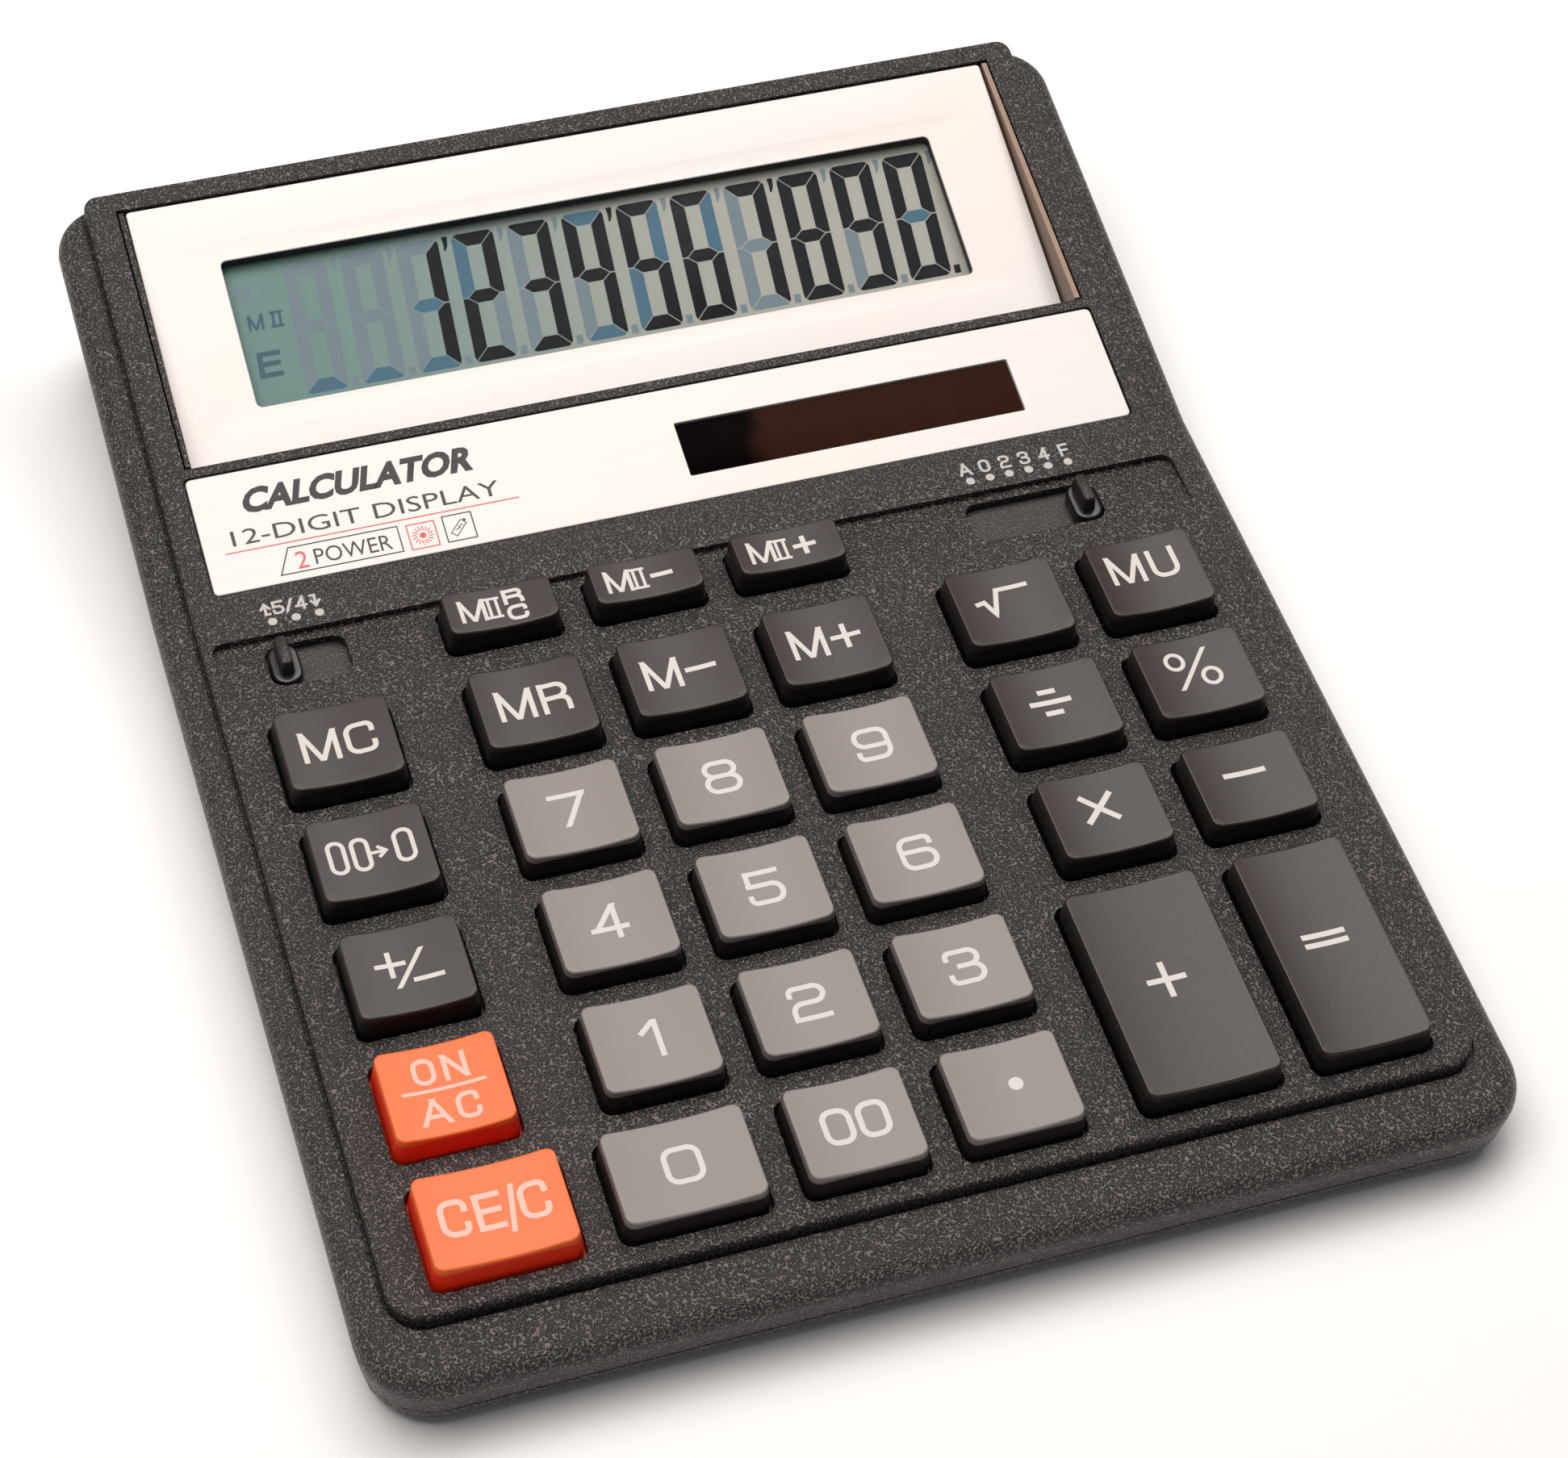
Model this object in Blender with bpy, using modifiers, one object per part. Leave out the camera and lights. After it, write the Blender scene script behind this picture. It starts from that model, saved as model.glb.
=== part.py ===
"""Desk calculator: a wedge-shaped case with sprung keys, two slide switches and a tilted screen.

Metres, +Z up.  The origin is the middle of the footprint on the desk and +Y points to the back.
Three sloping planes carry the pieces: the keypad, the display frame behind it, and the screen that is
sunk into that frame.  Each plane is an empty, and what lies on a plane is placed in its own x, y, z.
"""

import math

import bmesh
import bpy
from mathutils import Matrix, Vector

MM = 0.001

# Overall case
CASE_WIDTH = 159.0 * MM
CASE_LENGTH = 202.6 * MM
FRONT_RIM_HEIGHT = 11.0 * MM
FOLD_FROM_FRONT = 130.4 * MM
KEYPAD_SLOPE = math.radians(1.0)
DISPLAY_SLOPE = math.radians(11.1)
WALL = 2.0 * MM
RIM_ROUND = 2.8 * MM
WALL_DRAFT = math.tan(math.radians(8.5))
FRONT_CORNER = 10.0 * MM
BACK_CORNER = 7.5 * MM
PARTING_HEIGHT = 4.6 * MM
BASE_WALL = 1.8 * MM
BASE_CHAMFER = 1.6 * MM
LIP_WALL = 1.2 * MM
LIP_HEIGHT = 1.0 * MM
FOOT_HEIGHT = 1.0 * MM
FOOT_RADIUS = 6.0 * MM
FOOT_DRAFT = 0.4 * MM
FOOT_FROM_SIDE = 19.0 * MM
FOOT_FROM_END = 20.0 * MM
CORNER_STEPS = 5
GAP = 0.3 * MM

# Raised panel that carries the keys and the display
PANEL_STEP = 2.0 * MM
PANEL_SIDE_MARGIN = 5.1 * MM
PANEL_FRONT_MARGIN = 9.1 * MM
PANEL_BACK_MARGIN = 0.7 * MM
PANEL_FRONT_CORNER = 5.0 * MM
PANEL_WALL = 1.6 * MM
PANEL_BACK_CORNER = PANEL_WALL + 0.6 * MM
PANEL_EDGE = 0.5 * MM

# Keys: top face, draft and travel
KEY_WIDTH = 15.9 * MM
WIDE_KEY_WIDTH = 18.9 * MM
KEY_DEPTH = 14.0 * MM
SHORT_KEY_DEPTH = 7.8 * MM
KEY_HEIGHT = 4.0 * MM
KEY_TRAVEL = 2.0 * MM
KEY_DRAFT = 0.45 * MM
KEY_CORNER = 1.3 * MM
KEY_DISH = 0.8 * MM
DISH_STEPS = 6
SKIRT_LAP = 0.2 * MM
KEY_WALL = 1.3 * MM
KEY_STEM_RADIUS = 1.7 * MM
KEY_FLANGE = 0.8 * MM
KEY_WELL_GAP = 0.35 * MM
ROW_PITCH = 19.45 * MM
TOP_ROW_FROM_FOLD = 32.85 * MM
SHORT_ROW_FROM_FOLD = 14.7 * MM
COLUMN_X = [-60.0 * MM, -32.25 * MM, -10.75 * MM, 10.75 * MM, 38.45 * MM, 60.0 * MM]

# Key name, column, row; a wide key grows by the width difference to the side that is given
SQUARE_KEYS = [
    ("key_memory_clear", 0, 0), ("key_backspace", 0, 1), ("key_sign", 0, 2), ("key_on_all_clear", 0, 3),
    ("key_memory_recall", 1, 0), ("key_7", 1, 1), ("key_4", 1, 2), ("key_1", 1, 3),
    ("key_memory_minus", 2, 0), ("key_8", 2, 1), ("key_5", 2, 2), ("key_2", 2, 3), ("key_00", 2, 4),
    ("key_memory_plus", 3, 0), ("key_9", 3, 1), ("key_6", 3, 2), ("key_3", 3, 3), ("key_point", 3, 4),
    ("key_root", 4, 0), ("key_divide", 4, 1), ("key_multiply", 4, 2),
    ("key_markup", 5, 0), ("key_percent", 5, 1), ("key_minus", 5, 2),
]
SHORT_KEYS = [("key_memory2_recall", 1), ("key_memory2_minus", 2), ("key_memory2_plus", 3)]
GREY_KEYS = {"key_0", "key_00", "key_point"} | {f"key_{digit}" for digit in range(1, 10)}
ORANGE_KEYS = {"key_on_all_clear", "key_clear_entry"}

# Switch trough between the keypad and the fold
TROUGH_HALF_WIDTH = 73.0 * MM
TROUGH_FRONT = 19.5 * MM
TROUGH_BACK = 8.6 * MM
TROUGH_SHALLOW = 0.25 * MM
TROUGH_DEEP = 1.1 * MM
SWITCH_FROM_FOLD = 14.1 * MM
SLOT_DEPTH = 7.9 * MM
KNOB_WIDTH = 4.4 * MM
KNOB_FIN_WIDTH = 1.9 * MM
KNOB_RISE = 2.2 * MM
KNOB_SINK = 0.2 * MM
KNOB_EDGE = 0.3 * MM
FIN_FROM_FRONT = 1.6 * MM
FIN_FROM_BACK = 0.4 * MM
FIN_CORNER = 0.6 * MM
FIN_DRAFT = 0.25 * MM
SWITCH_PLATE = 0.9 * MM
ROUNDING_FIRST_X = -63.4 * MM
ROUNDING_PITCH = 3.4 * MM
ROUNDING_STEPS = 2
DECIMAL_LAST_X = 57.4 * MM
DECIMAL_PITCH = 3.1 * MM
DECIMAL_STEPS = 5

# Solar strip on the display frame, measured up the slope from the fold
STRIP_WIDTH = 140.6 * MM
STRIP_START = 0.2 * MM
STRIP_LENGTH = 20.0 * MM
STRIP_THICKNESS = 0.7 * MM
STRIP_POCKET = 1.0 * MM
STRIP_CORNER = 0.8 * MM
SOLAR_LEFT = 2.0 * MM
SOLAR_WIDTH = 52.7 * MM
SOLAR_START = 4.6 * MM
SOLAR_LENGTH = 9.4 * MM
SOLAR_MARGIN = 1.2 * MM
SOLAR_THICKNESS = 1.2 * MM

# Screen: an opening in the display frame, with a face that leans back further than the frame
SCREEN_WIDTH = 139.8 * MM
SCREEN_BAR = 1.9 * MM
SCREEN_LENGTH = 47.5 * MM
SCREEN_LEAN = math.radians(6.0)
SCREEN_TOP_SINK = 0.4 * MM
SCREEN_PLATE = 1.6 * MM
SCREEN_LEDGE = 2.5 * MM
LEDGE_THICKNESS = 1.5 * MM
CHEEK = 0.8 * MM
WINDOW_FROM_SIDE = 13.8 * MM
WINDOW_FROM_TOP = 11.5 * MM
WINDOW_FROM_FRONT = 11.4 * MM
WINDOW_WIDTH = SCREEN_WIDTH - 2 * WINDOW_FROM_SIDE
WINDOW_LENGTH = SCREEN_LENGTH - WINDOW_FROM_TOP - WINDOW_FROM_FRONT
WINDOW_CORNER = 1.0 * MM
LENS_MARGIN = 4.0 * MM
LENS_THICKNESS = 1.2 * MM
GLASS_MARGIN = 3.0 * MM
GLASS_THICKNESS = 2.2 * MM
HOLDER_WALL = 2.4 * MM
HOLDER_BACK = 1.4 * MM

# Inside
MAT_THICKNESS = 1.0 * MM
BOARD_THICKNESS = 1.6 * MM
BOARD_WIDTH = 132.0 * MM
BOARD_MARGIN = 1.0 * MM
CHIP_HEIGHT = 1.0 * MM
CHIP_RADIUS = 8.0 * MM
CHIP_TIP_RADIUS = 5.0 * MM
CHIP_FROM_BACK = 35.0 * MM
BOARD_BEHIND_KEYS = 8.0 * MM
BOARD_POST_RADIUS = 2.5 * MM
POST_FROM_EDGE = 6.0 * MM
DOME_BASE = 4.0 * MM
DOME_TOP = 2.2 * MM
RIBBON_WIDTH = 96.0 * MM
RIBBON_THICKNESS = 0.3 * MM
RIBBON_ROOM = 1.0 * MM
RIBBON_LAP = 4.0 * MM
LEAD_RADIUS = 0.8 * MM
LEAD_FROM_END = 3.0 * MM
LEAD_BULGE = 5.0 * MM
LEAD_DROP = 2.2 * MM
LEAD_STEPS = 8

# Screws from below
SCREW_FROM_SIDE = 6.5 * MM
SCREW_FROM_FRONT = (14.5 * MM, 103.0 * MM, CASE_LENGTH - 11.0 * MM)
SCREW_HEAD_RADIUS = 2.5 * MM
SCREW_HEAD_HEIGHT = 1.6 * MM
SCREW_HEAD_SINK = 0.7 * MM
HEAD_EDGE = 0.5 * MM
SEAT_THICKNESS = 1.9 * MM
SCREW_RADIUS = 1.3 * MM
SCREW_LENGTH = 5.0 * MM
BOSS_WALL = 1.4 * MM
SINK_WALL = 0.7 * MM

# Battery compartment, opening at the lower rear edge
CELL_RADIUS = 5.8 * MM
CELL_HEIGHT = 3.1 * MM
CELL_X = -45.0 * MM
CELL_FROM_BACK = 20.0 * MM
CELL_WALL = 1.4 * MM
DOOR_WIDTH = 17.0 * MM
DOOR_BEYOND_CELL = 9.0 * MM
DOOR_FLANGE = 1.4 * MM
DOOR_FLANGE_THICKNESS = 0.8 * MM
CONTACT_THICKNESS = 0.3 * MM
CONTACT_HALF_WIDTH = 2.0 * MM
CONTACT_TAIL = 4.0 * MM
CONTACT_REACH = 3.0 * MM
CONTACT_STEPS = 6
CELL_EDGE = 0.4 * MM

# How far cutters and hidden roots run past the surface they meet
BEYOND = 5.0 * MM
ROOT = 0.5 * MM

# Places that follow from the sizes above
FRONT_Y = -CASE_LENGTH / 2
BACK_Y = CASE_LENGTH / 2
FOLD_Y = FRONT_Y + FOLD_FROM_FRONT
FOLD_Z = FRONT_RIM_HEIGHT + FOLD_FROM_FRONT * math.tan(KEYPAD_SLOPE) + PANEL_STEP
FLOOR_Z = FOOT_HEIGHT + BASE_WALL
SCREEN_START = STRIP_START + STRIP_LENGTH + SCREEN_BAR
FLANGE_TOP = -(WALL + GAP)
FLANGE_BOTTOM = FLANGE_TOP - KEY_FLANGE
MAT_TOP = FLANGE_BOTTOM - KEY_TRAVEL - GAP
BOARD_TOP = MAT_TOP - MAT_THICKNESS - GAP

COLORS = {
    "case_black": ((0.055, 0.05, 0.047), 0.6, 0.0),
    "key_black": ((0.06, 0.055, 0.053), 0.5, 0.0),
    "key_grey": ((0.27, 0.25, 0.245), 0.5, 0.0),
    "key_orange": ((0.9, 0.16, 0.05), 0.45, 0.0),
    "knob_black": ((0.03, 0.028, 0.027), 0.25, 0.0),
    "silver_plastic": ((0.8, 0.77, 0.75), 0.3, 0.5),
    "silver_strip": ((0.8, 0.77, 0.75), 0.3, 0.9),
    "clear": ((0.9, 0.92, 0.92), 0.05, 0.0),
    "liquid_crystal": ((0.33, 0.38, 0.31), 0.2, 0.0),
    "solar_brown": ((0.05, 0.025, 0.02), 0.1, 0.0),
    "rubber_grey": ((0.35, 0.35, 0.34), 0.8, 0.0),
    "rubber_black": ((0.03, 0.03, 0.03), 0.85, 0.0),
    "board_green": ((0.03, 0.16, 0.07), 0.4, 0.0),
    "holder_white": ((0.6, 0.6, 0.58), 0.6, 0.0),
    "steel": ((0.55, 0.55, 0.56), 0.3, 1.0),
    "brass": ((0.75, 0.55, 0.25), 0.3, 1.0),
    "ribbon_brown": ((0.25, 0.12, 0.05), 0.4, 0.0),
    "lead_red": ((0.5, 0.03, 0.02), 0.5, 0.0),
}


def clear_scene():
    """Remove every object that is there already."""
    for obj in list(bpy.data.objects):
        bpy.data.objects.remove(obj)


def make_collection(name):
    """Add a collection to the scene."""
    collection = bpy.data.collections.new(name)
    bpy.context.scene.collection.children.link(collection)
    return collection


def make_material(name):
    """A Principled material from the colour table."""
    color, roughness, metallic = COLORS[name]
    material = bpy.data.materials.new(name)
    material.use_nodes = True
    shader = material.node_tree.nodes["Principled BSDF"]
    shader.inputs["Base Color"].default_value = (*color, 1.0)
    shader.inputs["Roughness"].default_value = roughness
    shader.inputs["Metallic"].default_value = metallic
    material.diffuse_color = (*color, 1.0)
    return material


clear_scene()
PARTS = make_collection("desk_calculator")
CUTTERS = make_collection("cutters")
MATERIALS = {name: make_material(name) for name in COLORS}


def make_plane(name, location, slope):
    """An empty on a sloping plane: x to the right, y up the slope, z out of the surface."""
    empty = bpy.data.objects.new(name, None)
    empty.location = location
    empty.rotation_euler = (slope, 0.0, 0.0)
    empty.empty_display_size = CASE_LENGTH / 10
    PARTS.objects.link(empty)
    return empty


KEYPAD = make_plane("keypad_plane", (0, FOLD_Y, FOLD_Z), KEYPAD_SLOPE)
DISPLAY = make_plane("display_plane", (0, FOLD_Y, FOLD_Z), DISPLAY_SLOPE)
SCREEN_TOP = Vector((0, SCREEN_START + SCREEN_LENGTH * math.cos(SCREEN_LEAN), -SCREEN_TOP_SINK))
SCREEN = make_plane(
    "screen_plane",
    Vector((0, FOLD_Y, FOLD_Z)) + Matrix.Rotation(DISPLAY_SLOPE, 3, "X") @ SCREEN_TOP,
    DISPLAY_SLOPE + SCREEN_LEAN,
)
PLANES = {
    "desk": Matrix.Identity(4),
    "keypad": Matrix.Translation(KEYPAD.location) @ Matrix.Rotation(KEYPAD_SLOPE, 4, "X"),
    "display": Matrix.Translation(DISPLAY.location) @ Matrix.Rotation(DISPLAY_SLOPE, 4, "X"),
    "screen": Matrix.Translation(SCREEN.location) @ Matrix.Rotation(DISPLAY_SLOPE + SCREEN_LEAN, 4, "X"),
}
EMPTIES = {"desk": None, "keypad": KEYPAD, "display": DISPLAY, "screen": SCREEN}


def add_object(name, shape, plane="desk", at=(0, 0, 0), material=None):
    """Turn a bmesh into an object on a plane; without a material it is a cutter."""
    bmesh.ops.recalc_face_normals(shape, faces=shape.faces)
    mesh = bpy.data.meshes.new(name)
    shape.to_mesh(mesh)
    shape.free()
    obj = bpy.data.objects.new(name, mesh)
    obj.parent = EMPTIES[plane]
    obj.location = at
    if material:
        mesh.materials.append(MATERIALS[material])
        PARTS.objects.link(obj)
    else:
        obj.hide_render = True
        obj.display_type = "WIRE"
        CUTTERS.objects.link(obj)
    return obj


def combine(obj, other, operation):
    """Add a Boolean modifier that joins, cuts or keeps what another object covers."""
    modifier = obj.modifiers.new(f"{operation.lower()}_{other.name}", "BOOLEAN")
    modifier.operation = operation
    modifier.object = other
    modifier.solver = "EXACT"


def cut(obj, *cutters):
    """Take the cutters away from an object."""
    for cutter in cutters:
        combine(obj, cutter, "DIFFERENCE")


def join(obj, *additions):
    """Add the other shapes to an object."""
    for addition in additions:
        combine(obj, addition, "UNION")


def add_box(shape, low, high, corner=0.0, steps=2, shrink_top=0.0):
    """A box between two corners in a bmesh, with rounded upright edges and a smaller top face."""
    size = Vector(high) - Vector(low)
    middle = (Vector(high) + Vector(low)) / 2
    placing = Matrix.Translation(middle) @ Matrix.Diagonal((*size, 1.0))
    corners = bmesh.ops.create_cube(shape, size=1.0, matrix=placing)["verts"]
    if corner:
        upright = [
            edge for edge in {edge for vert in corners for edge in vert.link_edges}
            if abs(edge.verts[0].co.z - edge.verts[1].co.z) > 0.5 * size.z
        ]
        rounded = bmesh.ops.bevel(
            shape, geom=upright, offset=corner, segments=steps, profile=0.5, affect="EDGES"
        )
        corners = list({vert for face in rounded["faces"] for vert in face.verts})
    if shrink_top:
        top = [vert for vert in corners if vert.co.z > middle.z]
        about = Matrix.Translation(-middle)
        factors = (1 - 2 * shrink_top / size.x, 1 - 2 * shrink_top / size.y, 1)
        bmesh.ops.scale(shape, vec=factors, space=about, verts=top)


def box(name, low, high, plane="desk", material=None, corner=0.0, steps=2, shrink_top=0.0):
    """One box as an object of its own."""
    shape = bmesh.new()
    add_box(shape, low, high, corner, steps, shrink_top)
    return add_object(name, shape, plane, material=material)


def add_cylinder(shape, x, y, low, high, radius, top_radius=None, sides=16):
    """An upright cylinder or cone in a bmesh."""
    placing = Matrix.Translation((x, y, (low + high) / 2))
    top = radius if top_radius is None else top_radius
    bmesh.ops.create_cone(
        shape, cap_ends=True, segments=sides, radius1=radius, radius2=top, depth=high - low, matrix=placing
    )


def side_prism(name, profile, low_x, high_x, plane="desk", material=None):
    """A side view in y and z, drawn out along x."""
    shape = bmesh.new()
    face = shape.faces.new([shape.verts.new((low_x, y, z)) for y, z in profile])
    grown = bmesh.ops.extrude_face_region(shape, geom=[face])["geom"]
    moved = [item for item in grown if isinstance(item, bmesh.types.BMVert)]
    bmesh.ops.translate(shape, vec=(high_x - low_x, 0, 0), verts=moved)
    return add_object(name, shape, plane, material=material)


def in_plane(target, source, point):
    """A point of one plane given in another plane's x, y, z."""
    return PLANES[target].inverted() @ PLANES[source] @ Vector(point)


def panel_height(y):
    """Height over the desk of the raised panel's surface: the keypad slope, then the steeper display."""
    slope = KEYPAD_SLOPE if y < FOLD_Y else DISPLAY_SLOPE
    return FOLD_Z + (y - FOLD_Y) * math.tan(slope)


def outline(half_width, front, back, front_corner, back_corner):
    """Points and outward directions of a rounded plan, counter-clockwise, with a pair at the fold."""
    points = []

    def arc(centre_x, centre_y, radius, start):
        for step in range(CORNER_STEPS + 1):
            angle = math.radians(start + 90 * step / CORNER_STEPS)
            outward = Vector((math.cos(angle), math.sin(angle)))
            points.append((Vector((centre_x, centre_y)) + radius * outward, outward))

    arc(half_width - front_corner, front + front_corner, front_corner, -90)
    points.append((Vector((half_width, FOLD_Y)), Vector((1, 0))))
    arc(half_width - back_corner, back - back_corner, back_corner, 0)
    arc(-half_width + back_corner, back - back_corner, back_corner, 90)
    points.append((Vector((-half_width, FOLD_Y)), Vector((-1, 0))))
    arc(-half_width + front_corner, front + front_corner, front_corner, 180)
    return points


def loft(name, plan, sections, material=None):
    """A solid through sections of one plan; each section gives an inset and a height for a point's y."""
    shape = bmesh.new()
    rings = []
    for inset, height in sections:
        ring = []
        for point, outward in plan:
            place = point - inset(point.y) * outward
            ring.append(shape.verts.new((place.x, place.y, height(place.y))))
        rings.append(ring)
    count = len(plan)
    for lower, upper in zip(rings, rings[1:]):
        for here in range(count):
            after = (here + 1) % count
            shape.faces.new((lower[here], lower[after], upper[after], upper[here]))
    fold_right = CORNER_STEPS + 1
    fold_left = count - CORNER_STEPS - 2
    for ring in (rings[0], rings[-1]):
        shape.faces.new(ring[fold_right:fold_left + 1])
        shape.faces.new(ring[fold_left:] + ring[:fold_right + 1])
    return add_object(name, shape, material=material)


def flat(value):
    """A section inset or height that is the same all round."""
    return lambda y: value


def rim_height(y):
    """Height of the lower rim that runs round the raised panel."""
    return panel_height(y) - PANEL_STEP


def wall_inset(y, z):
    """How far the drafted outer wall has come in at a height."""
    return WALL_DRAFT * max(0.0, rim_height(y) - RIM_ROUND - z)


CASE_PLAN = outline(CASE_WIDTH / 2, FRONT_Y, BACK_Y, FRONT_CORNER, BACK_CORNER)
PANEL_HALF = CASE_WIDTH / 2 - PANEL_SIDE_MARGIN
PANEL_FRONT_Y = FRONT_Y + PANEL_FRONT_MARGIN
PANEL_PLAN = outline(
    PANEL_HALF, PANEL_FRONT_Y, BACK_Y - PANEL_BACK_MARGIN, PANEL_FRONT_CORNER, PANEL_BACK_CORNER
)


def screw_place(side, distance):
    """Where a screw stands, kept the same way inside the drafted wall all along the case."""
    y = FRONT_Y + distance
    return side * (CASE_WIDTH / 2 - SCREW_FROM_SIDE - wall_inset(y, PARTING_HEIGHT)), y


SCREW_PLACES = [screw_place(side, distance) for distance in SCREW_FROM_FRONT for side in (-1, 1)]


def key_layout():
    """Every key as name, middle x, middle y, top width and top depth on the keypad plane."""
    def row_y(row):
        return -TOP_ROW_FROM_FOLD - row * ROW_PITCH

    grow = (WIDE_KEY_WIDTH - KEY_WIDTH) / 2
    tall = KEY_DEPTH + ROW_PITCH
    keys = []
    for name, column, row in SQUARE_KEYS:
        keys.append((name, COLUMN_X[column], row_y(row), KEY_WIDTH, KEY_DEPTH))
    for name, column in SHORT_KEYS:
        keys.append((name, COLUMN_X[column], -SHORT_ROW_FROM_FOLD, KEY_WIDTH, SHORT_KEY_DEPTH))
    keys.append(("key_clear_entry", COLUMN_X[0] + grow, row_y(4), WIDE_KEY_WIDTH, KEY_DEPTH))
    keys.append(("key_0", COLUMN_X[1] - grow, row_y(4), WIDE_KEY_WIDTH, KEY_DEPTH))
    keys.append(("key_plus", COLUMN_X[4] - grow, row_y(3.5), WIDE_KEY_WIDTH, tall))
    keys.append(("key_equals", COLUMN_X[5], row_y(3.5), KEY_WIDTH, tall))
    return keys


KEYS = key_layout()


def key_color(name):
    """The moulding colour of a key."""
    if name in ORANGE_KEYS:
        return "key_orange"
    return "key_grey" if name in GREY_KEYS else "key_black"


def key_dish(name, width, depth):
    """Cutter for the shallow hollow in a key's top: a long cylinder that lies front to back."""
    radius = (width * width / 4 + KEY_DISH * KEY_DISH) / (2 * KEY_DISH)
    turn = Matrix.Rotation(math.pi / 2, 4, "X")
    lying = Matrix.Translation((0, 0, KEY_HEIGHT - KEY_DISH + radius)) @ turn
    sides = round(2 * math.pi * radius / (width / DISH_STEPS))
    shape = bmesh.new()
    bmesh.ops.create_cone(
        shape, cap_ends=True, segments=sides, radius1=radius, radius2=radius, depth=2 * depth, matrix=lying
    )
    return add_object(f"{name}_dish", shape, "keypad")


def make_key(name, x, y, width, depth):
    """A hollow cap with a dished top, a stem over its dome, and a flange that holds it in its well."""
    half_w = width / 2 + KEY_DRAFT
    half_d = depth / 2 + KEY_DRAFT
    shape = bmesh.new()
    add_box(shape, (-half_w, -half_d, 0), (half_w, half_d, KEY_HEIGHT), KEY_CORNER, 2, KEY_DRAFT)
    key = add_object(name, shape, "keypad", (x, y, 0), key_color(name))

    skirt_low = (-half_w, -half_d, FLANGE_BOTTOM)
    skirt_high = (half_w, half_d, SKIRT_LAP)
    skirt = box(f"{name}_skirt", skirt_low, skirt_high, "keypad", corner=KEY_CORNER)
    flange_w = half_w + KEY_FLANGE
    flange_d = half_d + KEY_FLANGE
    flange_low = (-flange_w, -flange_d, FLANGE_BOTTOM)
    flange = box(f"{name}_flange", flange_low, (flange_w, flange_d, FLANGE_TOP), "keypad")
    hollow_w = half_w - KEY_WALL
    hollow_d = half_d - KEY_WALL
    ceiling = KEY_HEIGHT - KEY_DISH - KEY_WALL
    hollow_low = (-hollow_w, -hollow_d, 2 * FLANGE_BOTTOM)
    hollow = box(f"{name}_hollow", hollow_low, (hollow_w, hollow_d, ceiling), "keypad")
    stem_shape = bmesh.new()
    add_cylinder(stem_shape, 0, 0, FLANGE_TOP + GAP, ceiling + GAP, KEY_STEM_RADIUS, sides=8)
    stem = add_object(f"{name}_stem", stem_shape, "keypad")
    dish = key_dish(name, width, depth)

    for helper in (skirt, flange, hollow, stem, dish):
        helper.location = key.location
    join(key, skirt, flange)
    cut(key, hollow)
    join(key, stem)
    cut(key, dish)
    return key


def make_key_wells():
    """One cutter with a well for every key."""
    shape = bmesh.new()
    margin = KEY_DRAFT + KEY_WELL_GAP
    for _, x, y, width, depth in KEYS:
        half_w = width / 2 + margin
        half_d = depth / 2 + margin
        low = (x - half_w, y - half_d, -3 * WALL)
        high = (x + half_w, y + half_d, 3 * WALL)
        add_box(shape, low, high, KEY_CORNER + KEY_WELL_GAP)
    return add_object("key_wells", shape, "keypad")


def slot_range(first_x, steps, pitch):
    """The ends of a switch slot that lets its knob reach every position."""
    half = KNOB_WIDTH / 2 + GAP
    return min(first_x, first_x + steps * pitch) - half, max(first_x, first_x + steps * pitch) + half


ROUNDING_SLOT = slot_range(ROUNDING_FIRST_X, ROUNDING_STEPS, ROUNDING_PITCH)
DECIMAL_SLOT = slot_range(DECIMAL_LAST_X, -DECIMAL_STEPS, DECIMAL_PITCH)


def make_trough():
    """The slanting floor of the switch trough: deep at the back, almost level at the front."""
    profile = [
        (-TROUGH_FRONT, -TROUGH_SHALLOW),
        (-TROUGH_BACK, -TROUGH_DEEP),
        (-TROUGH_BACK, WALL),
        (-TROUGH_FRONT, WALL),
    ]
    return side_prism("trough", profile, -TROUGH_HALF_WIDTH, TROUGH_HALF_WIDTH, "keypad")


def make_switch_slots():
    """Cutter for the two slots that the knobs slide in."""
    shape = bmesh.new()
    front = -SWITCH_FROM_FOLD - SLOT_DEPTH / 2
    back = -SWITCH_FROM_FOLD + SLOT_DEPTH / 2
    for left, right in (ROUNDING_SLOT, DECIMAL_SLOT):
        add_box(shape, (left, front, -3 * WALL), (right, back, WALL), KNOB_WIDTH / 2, 4)
    return add_object("switch_slots", shape, "keypad")


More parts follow.
